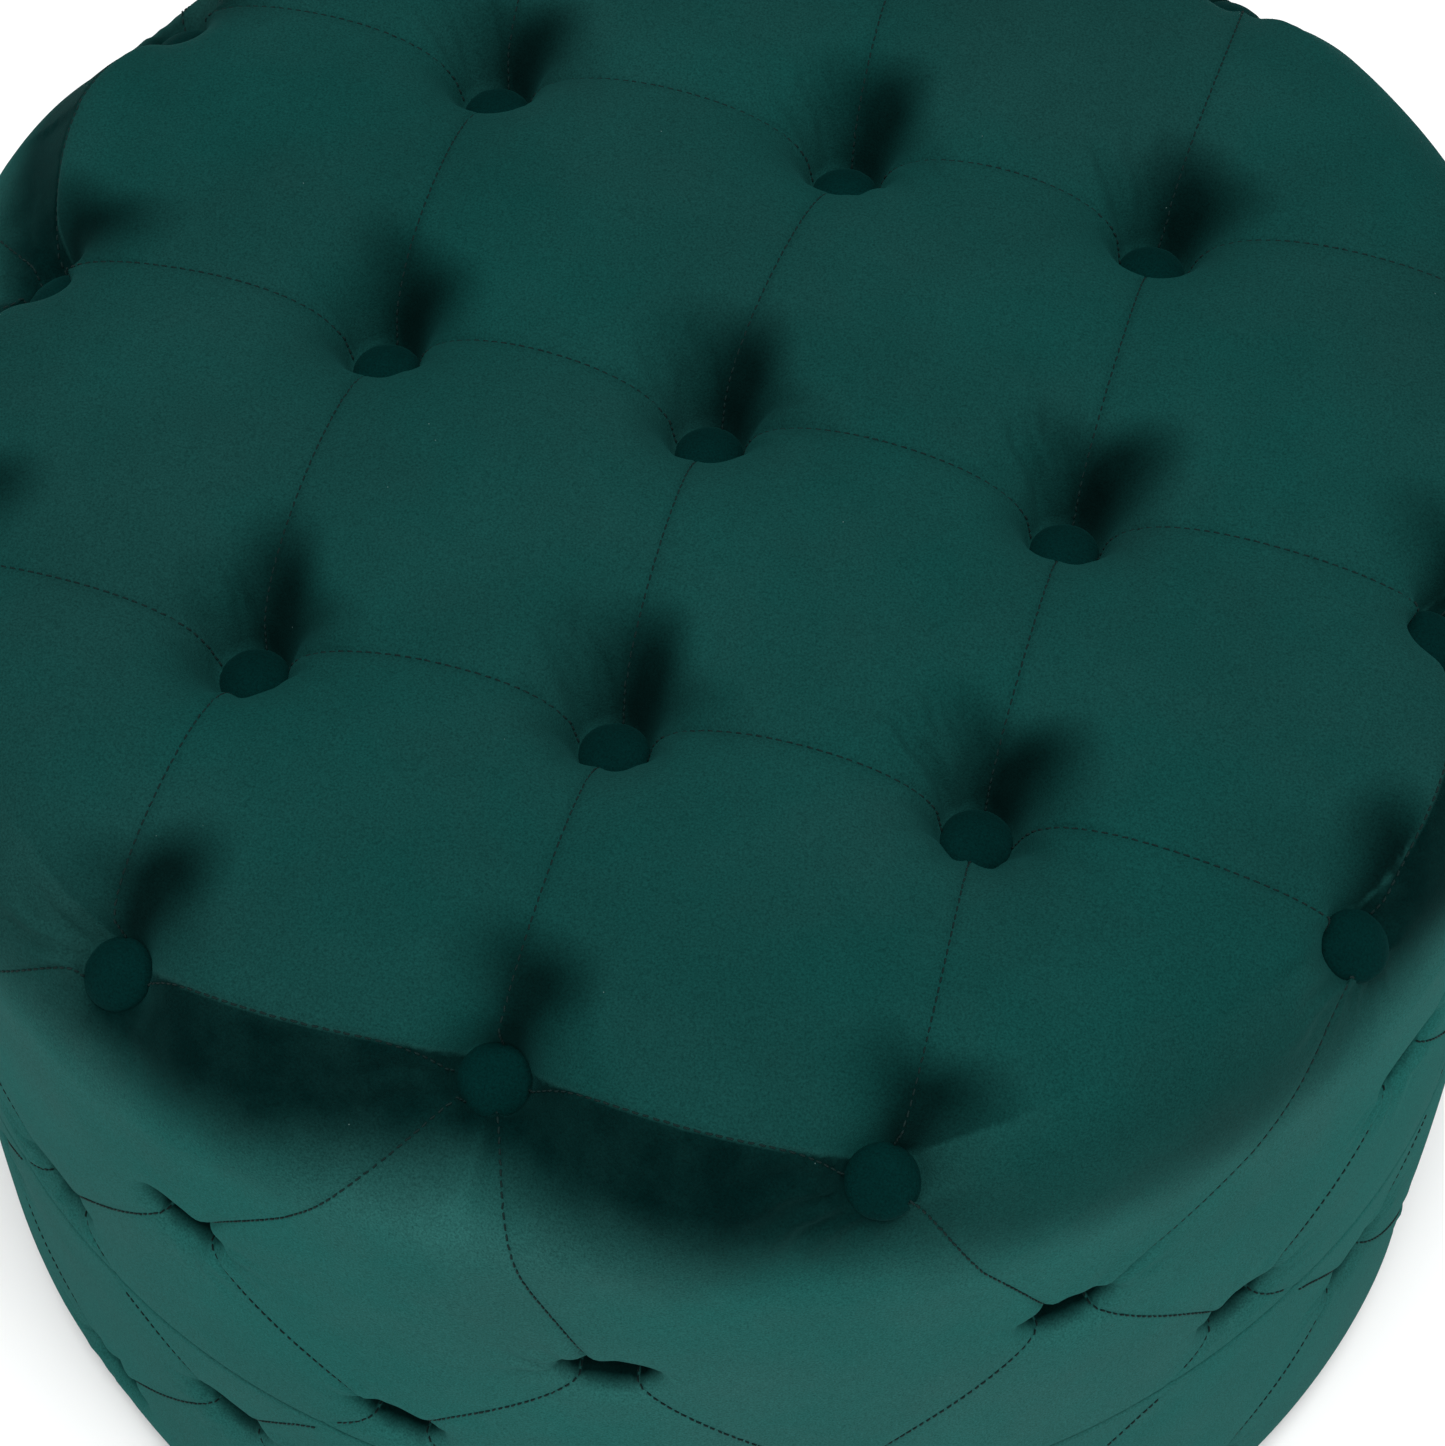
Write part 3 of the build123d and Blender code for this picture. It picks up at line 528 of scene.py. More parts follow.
# counter-clockwise seen from outside
e1, e2 = v2[tri[:, 1]] - v2[tri[:, 0]], v2[tri[:, 2]] - v2[tri[:, 0]]
cr = e1[:, 0] * e2[:, 1] - e1[:, 1] * e2[:, 0]
tri[cr < 0] = tri[cr < 0][:, ::-1]
tri = tri[np.abs(cr) > 1e-9]

# nearest tuft of each point, with its place round it in millimetres
d_all = np.stack([np.hypot(v2[:, 0] - c[0], v2[:, 1] - c[1]) / k for c, k in zip(tuft_c, tuft_scale)], -1)
T1 = d_all.argmin(1)
T1r = d_all[np.arange(N), T1]
T_radial = np.array([f.radial for f in tufts])
T_tang = np.array([f.tang for f in tufts])
off = (v2 - tuft_c[T1]) / tuft_scale[T1][:, None]
LA = (off * T_radial[T1]).sum(1)      # down the skin
LB = (off * T_tang[T1]).sum(1)        # round the seat

# ---------------------------------------------------------------------------
# Held points: under the buttons, along the seams
# ---------------------------------------------------------------------------
def smooth(u):
    u = np.clip(u, 0, 1)
    return u * u * (3 - 2 * u)


T_dip = np.array([0.0 if f.kind == "side" or max(abs(f.key[0]), abs(f.key[1])) < 2 else 12.0 if 0 in f.key else 8.0 for f in tufts])
T_side = np.array([f.kind == "side" for f in tufts])


def dip(idx, la, lb):
    """How far the shoulder is drawn in just outside the buttons of the outer ring."""
    return T_dip[idx] * np.exp(-(lb / 45.0) ** 2) * smooth((la + 18.0) / 40.0) * (1 - smooth((la - 16.0) / 44.0))


def slopes(s, th):
    t = profile_at(s, th)[2]
    return np.stack([np.sin(t) * np.cos(th), np.sin(t) * np.sin(th), np.cos(t)], -1)


ENV_N = slopes(S, TH)
ENV = envelope(S, TH) - ENV_N * dip(T1, LA, LB)[:, None]
for n, f in enumerate(tufts):
    f.env = f.env - slopes(np.array(f.s), np.array(f.th)) * dip(n, 0.0, 0.0)
D = np.zeros((N, 3))
fixed = np.zeros(N, bool)
pinned = T1r < PIN_R + 0.3
T_pin = np.array([f.pin for f in tufts])
T_down = np.array([f.down for f in tufts])
T_round = np.array([f.round for f in tufts])
T_n = np.array([f.n for f in tufts])
under = T_pin[T1] + LA[:, None] * T_down[T1] + LB[:, None] * T_round[T1] - T_n[T1] * (1.6 * np.clip(1 - T1r / PIN_R, 0, 1))[:, None]
D[pinned] = (under - ENV)[pinned]
fixed |= pinned
T_off = T_pin - np.array([f.env for f in tufts])


# ---------------------------------------------------------------------------
# Smooth puffs between them
# ---------------------------------------------------------------------------
class Ring:
    """Neighbours of every vertex, laid out so that sums run over slices."""

    def __init__(self, tri, weights=None):
        i = np.concatenate([tri[:, 0], tri[:, 1], tri[:, 1], tri[:, 2], tri[:, 2], tri[:, 0]])
        j = np.concatenate([tri[:, 1], tri[:, 0], tri[:, 2], tri[:, 1], tri[:, 0], tri[:, 2]])
        if weights is not None:
            w = np.repeat(weights.T, 2, axis=0).reshape(3, 2, -1).reshape(-1)
        else:
            w = np.ones(len(i))
        key = i.astype(np.int64) * N + j
        order = np.argsort(key, kind="stable")
        key, w = key[order], w[order]
        first = np.concatenate([[True], key[1:] != key[:-1]])
        start = np.nonzero(first)[0]
        self.w = np.add.reduceat(w, start)
        key = key[start]
        self.i, self.j = (key // N).astype(np.int64), (key % N).astype(np.int64)
        self.start = np.searchsorted(self.i, np.arange(N))
        self.deg = np.bincount(self.i, minlength=N)

    def sum(self, x):
        return np.add.reduceat(x, self.start, axis=0)


def cotangents(p, tri):
    out = []
    for k in range(3):
        a, b, c = p[tri[:, k]], p[tri[:, (k + 1) % 3]], p[tri[:, (k + 2) % 3]]
        # weight of edge a-b is half the cotangent at c
        u, v = a - c, b - c
        crs = u[:, 0] * v[:, 1] - u[:, 1] * v[:, 0]
        out.append(0.5 * (u * v).sum(1) / np.maximum(np.abs(crs), 1e-9))
    return np.clip(np.stack(out, -1), 0.02, 20.0)


cot = cotangents(v2, tri)
ring = Ring(tri, cot)
area2 = np.abs(cr[np.abs(cr) > 1e-9]) / 2
SC = scale_of(S)
area = np.bincount(tri.ravel(), np.repeat(area2 / 3, 3), minlength=N) / SC**2
wsum = ring.sum(ring.w)
free = ~fixed


def lap(x):
    return wsum[:, None] * x - ring.sum(ring.w[:, None] * x[ring.j])


def solve(D, fixed, lam, iters=160):
    """Conjugate gradients for the skin's soft surface."""
    k = (area / lam**2)[:, None]
    free = (~fixed)[:, None]
    x = D.copy()
    b = -(lap(x) + k * x) * free
    pre = 1 / (wsum[:, None] + k)
    d = np.zeros_like(x)
    r = b.copy()
    z = pre * r
    p = z.copy()
    rz = (r * z).sum(0)
    for _ in range(iters):
        Ap = (lap(p) + k * p) * free
        alpha = rz / np.maximum((p * Ap).sum(0), 1e-30)
        d += alpha * p
        r -= alpha * Ap
        z = pre * r
        rz2 = (r * z).sum(0)
        if (rz2 < 1e-10 * np.maximum(rz, 1)).all() and _ > 40:
            break
        p = z + (rz2 / np.maximum(rz, 1e-30)) * p
        rz = rz2
    return x + d


sideness = np.clip((S - (S_J1 - 75)) / 70.0, 0, 1)
sideness = sideness**2 * (3 - 2 * sideness)
# the foam gives way widely round each button and a little along the seams ...
WIDE = np.where(T_side, 0.11, np.where(T_dip > 0, 0.55, 0.44))
SEAM = {   # share of the button's depth left at the middle of a seam, in all and in the wide part; how fast it rises; ridge in mm
    "top": (0.135, 0.125, 0.36, 0.0), "ring": (0.03, 0.03, 0.60, 0.0), "rim": (0.02, 0.015, 0.10, 0.0), "side": (0.018, 0.03, 0.08, 0.0),
}
seam_rng = np.random.default_rng(11)
seam_jit = 1 + 0.10 * seam_rng.standard_normal(len(seams))
on_seam = np.nonzero((vseam >= 0) & ~pinned & (vtag != 6))[0]
row_beside = vtag == 6
D1 = np.zeros((N, 3))
D1[pinned] = (T_off * WIDE[:, None])[T1][pinned]
for k in on_seam:
    a, b, kind = seams[vseam[k]]
    t = vseam_t[k]
    left, left_wide, power, ridge = SEAM[kind]
    both = T_off[a] * (1 - t) + T_off[b] * t
    wide = WIDE[a] * (1 - t) + WIDE[b] * t
    w = 4 * t * (1 - t)
    keep = 1 - (1 - left * seam_jit[vseam[k]]) * w**power
    keep_wide = wide * (1 - w**(power * 0.9)) + left_wide * seam_jit[vseam[k]] * w**(power * 0.9)
    D[k] = both * keep + ENV_N[k] * ridge * w * 0.85
    D1[k] = both * keep_wide + ENV_N[k] * ridge * w
    fixed[k] = True
D1 = solve(D1, fixed, 25.0 - 6.0 * sideness, 110)
# ... and the sewn seams and the buttons themselves cut in sharply
D2 = np.zeros((N, 3))
D2[fixed] = (D - D1)[fixed]
near_ring = np.where(T_dip[T1] > 0, np.exp(-(T1r / 45.0) ** 2), 0.0)
D2 = solve(D2, fixed, 10.0 + 2.0 * near_ring - 7.4 * sideness, 110)
D = D1 + D2
X0 = ENV + D
# outward direction of the puffs
def face_normals(X, tri):
    n = np.cross(X[tri[:, 1]] - X[tri[:, 0]], X[tri[:, 2]] - X[tri[:, 0]])
    return n


def vertex_normals(X, tri):
    n = face_normals(X, tri)
    out = np.stack([np.bincount(tri.ravel(), np.repeat(n[:, k], 3), minlength=N) for k in range(3)], -1)
    return out / np.maximum(np.linalg.norm(out, axis=1, keepdims=True), 1e-12)


# the side puffs sag: what stands out furthest hangs lowest, so each overhangs the tuft below it
R0 = np.hypot(X0[:, 0], X0[:, 1])
on_side = np.clip((S - (S_J1 - 35)) / 60.0, 0, 1)
split_fade = np.clip(np.abs(S - S_SPLIT) / 26.0, 0, 1)
split_fade = split_fade**2 * (3 - 2 * split_fade)
hem_fade = np.clip((S_HEM - S) / 40.0, 0, 1)
out_by = np.clip(R0 - 286.0, 0, 40)
lip = np.exp(-(T1r / 30.0) ** 2) * np.clip(0.35 - LA / 18.0, 0, 1) * np.exp(-(LB / 24.0) ** 2)
X0[:, 2] -= (0.015 + 0.40 * lip) * out_by * on_side * split_fade * hem_fade * (T1r > PIN_R)

# ---------------------------------------------------------------------------
# The velvet itself: it is drawn in under each button, so round it there is more
# cloth than the dimple needs, and it buckles into pleats. The cloth is relaxed
# against the foam with that spare length.
# ---------------------------------------------------------------------------
def angles_noise(seed, terms=5):
    """Smooth random function of the angle round each tuft."""
    g = np.random.default_rng(seed)
    amp = g.standard_normal((len(tufts), terms)) / np.sqrt(np.arange(1, terms + 1))[None]
    ph = g.uniform(0, 2 * math.pi, (len(tufts), terms))
    return amp, ph


def eval_noise(an, idx, ang):
    amp, ph = an
    out = np.zeros(len(idx))
    for k in range(amp.shape[1]):
        out += amp[idx, k] * np.cos((k + 1) * ang + ph[idx, k])
    return out


def relax(X0, steps):
    edge_i, edge_j = ring.i, ring.j
    same = T1[edge_i] == T1[edge_j]
    la, lb = (LA[edge_i] + LA[edge_j]) / 2, (LB[edge_i] + LB[edge_j]) / 2
    da, db = LA[edge_j] - LA[edge_i], LB[edge_j] - LB[edge_i]
    rad = np.hypot(la, lb)
    ang = np.arctan2(lb, la)
    g = np.clip(1.0 + 0.55 * eval_noise(angles_noise(5), T1[edge_i], ang), 0.15, 2.0)
    mid = (v2[edge_i] + v2[edge_j]) / 2 - tuft_c[T1[edge_i]]
    phi = np.arctan2(mid[:, 1], mid[:, 0])

    def toward(deg, width):
        d = (phi - math.radians(deg) + math.pi) % (2 * math.pi) - math.pi
        return np.exp(-(d / math.radians(width)) ** 2)

    # on the seat most of the spare cloth gathers on two sides of a button
    T_inner = np.array([f.kind == "seat" and T_dip[n] == 0 for n, f in enumerate(tufts)])
    by_side = 0.32 + 0.55 * toward(-2, 20) + 0.70 * toward(134, 25) - 0.22 * toward(66, 25)
    more = np.array([{(1, -1): 1.6, (0, 0): 1.15, (-1, -1): 1.2}.get(f.key, 0.85) if f.kind == "seat" else 1.0 for f in tufts])
    by_side = by_side * more[T1[edge_i]]
    # and on one side and a little below the outer ones

    def beyond(deg, width):
        d = (ang - math.radians(deg) + math.pi) % (2 * math.pi) - math.pi
        return np.exp(-(d / math.radians(width)) ** 2)

    by_ring = 0.20 + 0.70 * beyond(-72, 36) + 0.20 * beyond(5, 45)
    T_outer = np.array([f.kind == "seat" and T_dip[n] > 0 for n, f in enumerate(tufts)])
    g = g * np.where(T_inner[T1[edge_i]], by_side, np.where(T_outer[T1[edge_i]], by_ring, 1.0))
    spare = np.where(T_side[T1[edge_i]], 0.50, 1.0) * g * EXCESS * np.clip((rad - PIN_R) / 4.0, 0, 1) * np.exp(-np.clip(rad - 17.0, 0, None) / np.where(T_side[T1[edge_i]], 15.0, 21.0))
    spare *= np.clip((70 - rad) / 24.0, 0, 1)
    across = (la * db - lb * da) / np.maximum(rad, 1e-6)
    length = np.hypot(da, db)
    share = np.clip((across / np.maximum(length, 1e-6)) ** 2, 0, 1)
    rest = np.linalg.norm(X0[edge_j] - X0[edge_i], axis=1) * (1 + np.where(same, spare * share, 0))
    rest = rest.astype(np.float32)
    X = X0.astype(np.float32)
    nrm = vertex_normals(X0, tri)
    # a first faint set of folds, so that they fall where real ones would: out from the button
    an = angles_noise(7)
    angv = np.arctan2(LB, LA)
    folds = np.where(T_side[T1], 15.0, 19.0)
    wav = np.cos(folds * angv + 1.6 * eval_noise(an, T1, angv))
    seed_h = 0.35 * wav * np.exp(-np.clip(T1r - 18, 0, None) / 16.0) * np.clip((T1r - PIN_R) / 5.0, 0, 1)
    hold = fixed | row_beside | (np.abs(S - S_SPLIT) < 0.5) | (S > S_HEM - 0.5)
    mob = (~hold).astype(np.float32)[:, None]
    X += (seed_h[:, None] * nrm).astype(np.float32) * mob
    inv_deg = (1.0 / ring.deg).astype(np.float32)[:, None]

    def umbrella(v):
        return np.add.reduceat(v[edge_j] - v[edge_i], ring.start, axis=0) * inv_deg

    l0 = umbrella(X0.astype(np.float32))
    X0f = X0.astype(np.float32)
    V = np.zeros_like(X)
    for it in range(steps):
        e = X[edge_j] - X[edge_i]
        ln = np.sqrt((e * e).sum(1))
        f = (K_STRETCH * (ln - rest) / ln)[:, None] * e
        F = np.add.reduceat(f, ring.start, axis=0)
        l = umbrella(X) - l0
        F += K_BEND * -umbrella(l)
        F += K_FOAM * (X0f - X)
        V = (V + DT * F) * 0.86
        V *= mob
        X += DT * V
    # the pile rounds off what is narrower than itself
    for it in range(2):
        X += 0.45 * umbrella(X - X0f) * mob
    return X.astype(float)


EXCESS, K_STRETCH, K_BEND, K_FOAM, DT = 0.27, 1.0, 0.55, 0.019, 0.42
STEPS = 260


X = relax(X0, STEPS)

# Beside the seams the gathers run out in long thin pleats. A group is (from, to: directions in degrees, how
# many, length, height); which tufts have them and how strongly follows the photograph.
LONG_PLEATS = [(152, 177, 4, 54, 0.62), (99, 113, 2, 48, 0.42), (3, 30, 4, 58, 0.58), (-52, -9, 4, 30, 0.40)]
STRENGTH = {(1, -1): (1.0, 1.0, 1.15, 1.0), (0, 0): (0.9, 0.8, 0.5, 0.3), (-1, -1): (0.7, 0.7, 0.35, 0.2), (0, -1): (0.6, 0.4, 0.55, 0.2), (1, 0): (0.8, 1.0, 0.3, 0.9)}
OUTER_PLEATS = {
    (1, -2): [(186, 238, 4, 44, 0.85), (-14, 8, 2, 28, 0.5)],
    (2, -1): [(-74, -12, 6, 44, 0.75), (150, 178, 3, 40, 0.45)],
    (0, -2): [(176, 214, 3, 22, 0.55)],
    (-1, -2): [(136, 196, 5, 48, 0.9)],
    (2, 1): [(-60, -20, 4, 36, 0.6)], (2, 0): [(-80, -30, 4, 34, 0.6)], (1, 2): [(20, 60, 4, 34, 0.6)],
    (0, 2): [(40, 90, 4, 30, 0.6)], (-1, 2): [(100, 150, 4, 36, 0.6)], (-2, 1): [(120, 170, 4, 34, 0.6)],
    (-2, 0): [(150, 200, 4, 30, 0.6)], (-2, -1): [(170, 225, 5, 40, 0.7)],
}


def long_pleats():
    g = np.random.default_rng(77)
    h = np.zeros(N)
    for n, f in enumerate(tufts):
        if f.kind != "seat":
            continue
        inner = T_dip[n] == 0
        strength = STRENGTH.get(f.key) or g.uniform(0.25, 0.75, 4)
        groups = [(*v[:4], v[4] * k) for v, k in zip(LONG_PLEATS, strength)] if inner else OUTER_PLEATS.get(f.key, [])
        here = np.nonzero((T1 == n) & (T1r < 78) & (T1r > PIN_R) & free & ~row_beside)[0]
        r = T1r[here]
        phi = np.arctan2(LB[here], LA[here]) + f.th
        for a0, a1, count, length, height in groups:
            for k in range(count):
                a = math.radians(a0 + (a1 - a0) * (k + 0.5 + g.uniform(-0.28, 0.28)) / count)
                bend = math.radians(g.uniform(-7, 7))
                ll = length * g.uniform(0.7, 1.15)
                tall = height * g.uniform(0.65, 1.2)
                path = a + bend * (r - 13) / 40
                off_ = (phi - path + math.pi) % (2 * math.pi) - math.pi
                side_ = off_ * r
                wide = (1.15 + 0.024 * r) * g.uniform(0.85, 1.2)
                fade = (1 - np.exp(-np.clip(r - PIN_R, 0, None) / 3.5)) * (1 - smooth((r - 13) / ll))
                h[here] += np.where(np.abs(off_) < 1.2, 2.1 * tall * fade * (np.exp(-(side_ / wide) ** 2) - 0.42 * np.exp(-(side_ / (1.9 * wide)) ** 2)), 0)
    return h


X = X + long_pleats()[:, None] * vertex_normals(X, tri)
# every seam is a narrow groove where the two cloths turn down into each other
groove = np.zeros(N)
groove_depth = {"top": 1.15, "ring": 0.8, "rim": 0.65, "side": 0.4}
groove[on_seam] = np.array([groove_depth[seams[vseam[k]][2]] for k in on_seam]) * np.clip(T1r[on_seam] - PIN_R, 0, 3.0) / 3.0
X = X - groove[:, None] * vertex_normals(X, tri)

# ---------------------------------------------------------------------------
# Meshes
# ---------------------------------------------------------------------------
def make_mesh(name, verts, *faces, crease=None):
    """A mesh object from points in millimetres and one or more arrays of faces."""
    me = bpy.data.meshes.new(name)
    me.vertices.add(len(verts))
    me.vertices.foreach_set("co", (np.asarray(verts, float) * 0.001).ravel())
    sizes = np.concatenate([np.full(len(f), np.asarray(f).shape[1], np.int32) for f in faces])
    loops = np.concatenate([np.asarray(f).ravel() for f in faces]).astype(np.int32)
    me.loops.add(len(loops))
    me.loops.foreach_set("vertex_index", loops)
    me.polygons.add(len(sizes))
    me.polygons.foreach_set("loop_start", np.concatenate([[0], np.cumsum(sizes)[:-1]]).astype(np.int32))
    me.polygons.foreach_set("loop_total", sizes)
    me.update(calc_edges=True)
    me.validate()
    me.polygons.foreach_set("use_smooth", np.ones(len(me.polygons), bool))
    if crease is not None:
        me.set_sharp_from_angle(angle=math.radians(crease))
    ob = bpy.data.objects.new(name, me)
    scene.collection.objects.link(ob)
    return ob


tri_s = S[tri].mean(1)
lid_tri, base_tri = tri[tri_s < S_SPLIT], tri[tri_s >= S_SPLIT]
seam_normal = vertex_normals(X, tri)


def carry_on(V, F, ring_at, rows, down, seed):
    """Carries the cloth on from an open edge, in and under. A row is (how far in from the edge's own radius,
    share of the way from there to a fixed radius, that radius, height, unevenness)."""
    g = np.random.default_rng(seed)
    n = len(ring_at)
    P0 = V[ring_at]
    R0, a = np.hypot(P0[:, 0], P0[:, 1]), np.arctan2(P0[:, 1], P0[:, 0])
    wave = sum(g.uniform(0.3, 1.0) * np.cos(k * a + g.uniform(0, 6.3)) for k in (23, 31, 41, 57, 73)) / 5
    out, quads = [V], []
    last = np.asarray(ring_at)
    at = len(V)
    for inward, share, fixed_r, z, uneven in rows:
        R = (R0 - inward) * (1 - share) + fixed_r * share
        zz = z + uneven * (wave + 1)
        out.append(np.stack([R * np.cos(a), R * np.sin(a), np.broadcast_to(zz, R.shape)], -1))
        this = np.arange(at, at + n)
        at += n
        A, B, C, D_ = last, np.roll(last, -1), np.roll(this, -1), this
        quads.append(np.stack([A, D_, C, B] if down else [A, B, C, D_], -1))
        last = this
    return np.concatenate(out), np.concatenate(quads)


def split_shift(z, way):
    """Room for the turned edge above and below the line between lid and tub."""
    return z + way * 2.8 * (1 - smooth(np.abs(z - SPLIT_Z) / 15.0))


lid_used, inv = np.unique(lid_tri.ravel(), return_inverse=True)
lid_f, lid_v = inv.reshape(-1, 3), X[lid_used].copy()
lid_v[:, 2] = split_shift(lid_v[:, 2], 1)
base_used, inv = np.unique(base_tri.ravel(), return_inverse=True)
base_f, base_v = inv.reshape(-1, 3), X[base_used].copy()
base_v[:, 2] = split_shift(base_v[:, 2], -1)
lid_at = {int(g): k for k, g in enumerate(lid_used)}
base_at = {int(g): k for k, g in enumerate(base_used)}
split_new = [to_new[i] for i in split_ring]
hem_new = [to_new[i] for i in hem_ring]
under_lid = [(0.25, 0, 0, 193.8, 0), (0.9, 0, 0, 193.05, 0), (2.2, 0, 0, 192.8, 0), (2.2, 0.3, 283.5, 192.8, 0.12), (2.2, 0.6, 283.5, 192.8, 0.12), (2.2, 0.85, 283.5, 192.8, 0.06), (2.2, 1, 283.2, 192.85, 0), (2.2, 1, 282.3, 193.2, 0), (2.2, 1, 282.15, 196.0, 0)]
over_tub = [(0.25, 0, 0, 190.2, 0), (0.9, 0, 0, 190.95, 0), (2.2, 0, 0, 191.2, 0), (2.2, 0.3, 281.5, 191.2, -0.12), (2.2, 0.6, 281.5, 191.2, -0.12), (2.2, 0.85, 281.5, 191.2, -0.06), (2.2, 1, 281.2, 191.15, 0), (2.2, 1, 280.4, 190.8, 0), (2.2, 1, 280.25, 188.0, 0)]
hem_rows = [(0.3, 0, 0, 11.2, 0), (1.0, 0, 0, 9.5, 0), (2.3, 0, 0, 7.9, 0), (4.3, 0, 0, 6.75, 0), (7.0, 0, 0, 6.15, 0), (11.0, 0, 0, 6.0, 0.05), (11.0, 0.5, 284.0, 6.0, 0.25), (11.0, 1, 283.6, 6.02, 0.1), (11.0, 1, 282.2, 6.2, 0), (11.0, 1, 281.8, 7.0, 0), (11.0, 1, 281.2, 8.0, 0), (11.0, 1, 279.8, 8.4, 0), (11.0, 1, 272.0, 8.4, 0.06), (11.0, 1, 259.0, 8.45, 0.06), (11.0, 1, 258.2, 8.9, 0), (11.0, 1, 258.1, 9.8, 0)]
lid_all, lid_quads = carry_on(lid_v, lid_f, [lid_at[i] for i in split_new], under_lid, True, 3)
base_all, q1 = carry_on(base_v, base_f, [base_at[i] for i in split_new], over_tub, False, 4)
base_all, q2 = carry_on(base_all, base_f, [base_at[i] for i in hem_new], hem_rows, True, 5)
lid_cover = make_mesh("lid_velvet", lid_all, lid_f, lid_quads)
base_cover = make_mesh("base_velvet", base_all, base_f, np.concatenate([q1, q2]))

_th720 = np.linspace(-math.pi, math.pi, 721)
_edge720 = np.array([s_edge(v) for v in _th720]) + 1.5


def stroked_shade_patches():
    """Where the pile has been stroked over beside the seat's buttons: share of it, for every point. These patches are
    painted dark, a painted shade of the laid pile.
    """
    out = np.zeros(N)
    across, along = np.array([0.953, 0.303]), np.array([-0.303, 0.953])
    for f in tufts:
        if f.kind != "seat":
            continue
        rel = X[:, :2] - f.back[:2]
        r = np.hypot(rel[:, 0], rel[:, 1])
        near_ = (r < 60) & (X[:, 2] > 380)
        a = np.arctan2(rel[near_] @ along, rel[near_] @ across) - math.radians(50)
        a = (a + math.pi) % (2 * math.pi) - math.pi
        wob = 1 + 0.12 * np.sin(3 * a + f.c[0]) + 0.10 * np.sin(5 * a + f.c[1])
        m = np.exp(-(a / math.radians(43)) ** 2) * (1 - smooth((r[near_] / wob - 21.0) / 24.0))
        out[near_] = np.maximum(out[near_], m)
    return out


STROKED_SHADE = stroked_shade_patches()
R_OUT = np.hypot(X[:, 0], X[:, 1])


def pile(ob, used):
    """Painted shade kept on the mesh, as a share of dark colour for the laid pile beside the seat's buttons, the
    shoulder and the side's pockets; and which panels are the wall's.
    """
    corner = ring_radius(TH[used])[1]
    seat = smooth((np.interp(TH[used], _th720, _edge720) - S[used]) / 2.4 + 0.5)
    # a corner's panel is one piece with the seat's, and runs on down over the rim
    seat = np.maximum(seat, corner * smooth((X[used, 2] - 372.0) / 55.0))
    past = S[used] - np.interp(TH[used], _th720, _edge720)
    # painted shade: the shoulder outside the outer seams is painted dark
    shoulder = (1 - seat) * (1 - smooth((past - 22.0) / 46.0))
    # painted shade: the laid pile beside the seat's buttons takes the dark colour here
    brushed = np.clip(1.05 * STROKED_SHADE[used] ** 0.7, 0, 1) * seat
    # painted shade: down in the pockets of the side the cloth is painted dark, as the shade in the recess
    inside = T_side[T1[used]] * smooth((312.5 - R_OUT[used]) / 3.5) * (1 - smooth((T1r[used] - 17.0) / 4.0)) * (S[used] < S_HEM - 14.0)
    pressed_shade = np.zeros(len(ob.data.vertices), np.float32)
    pressed_shade[:len(used)] = np.clip(np.maximum(np.maximum(0.90 * brushed, 0.97 * shoulder), 0.95 * inside), 0, 1)
    at = ob.data.attributes.new("pressed_shade", "FLOAT", "POINT")
    at.data.foreach_set("value", pressed_shade)
    # the wall's panels are marked: they take a lighter colour, a painted sheen
    wall = np.ones(len(ob.data.vertices), np.float32)
    wall[:len(used)] = 1 - seat
    at = ob.data.attributes.new("wall", "FLOAT", "POINT")
    at.data.foreach_set("value", wall)


pile(lid_cover, lid_used)
pile(base_cover, base_used)


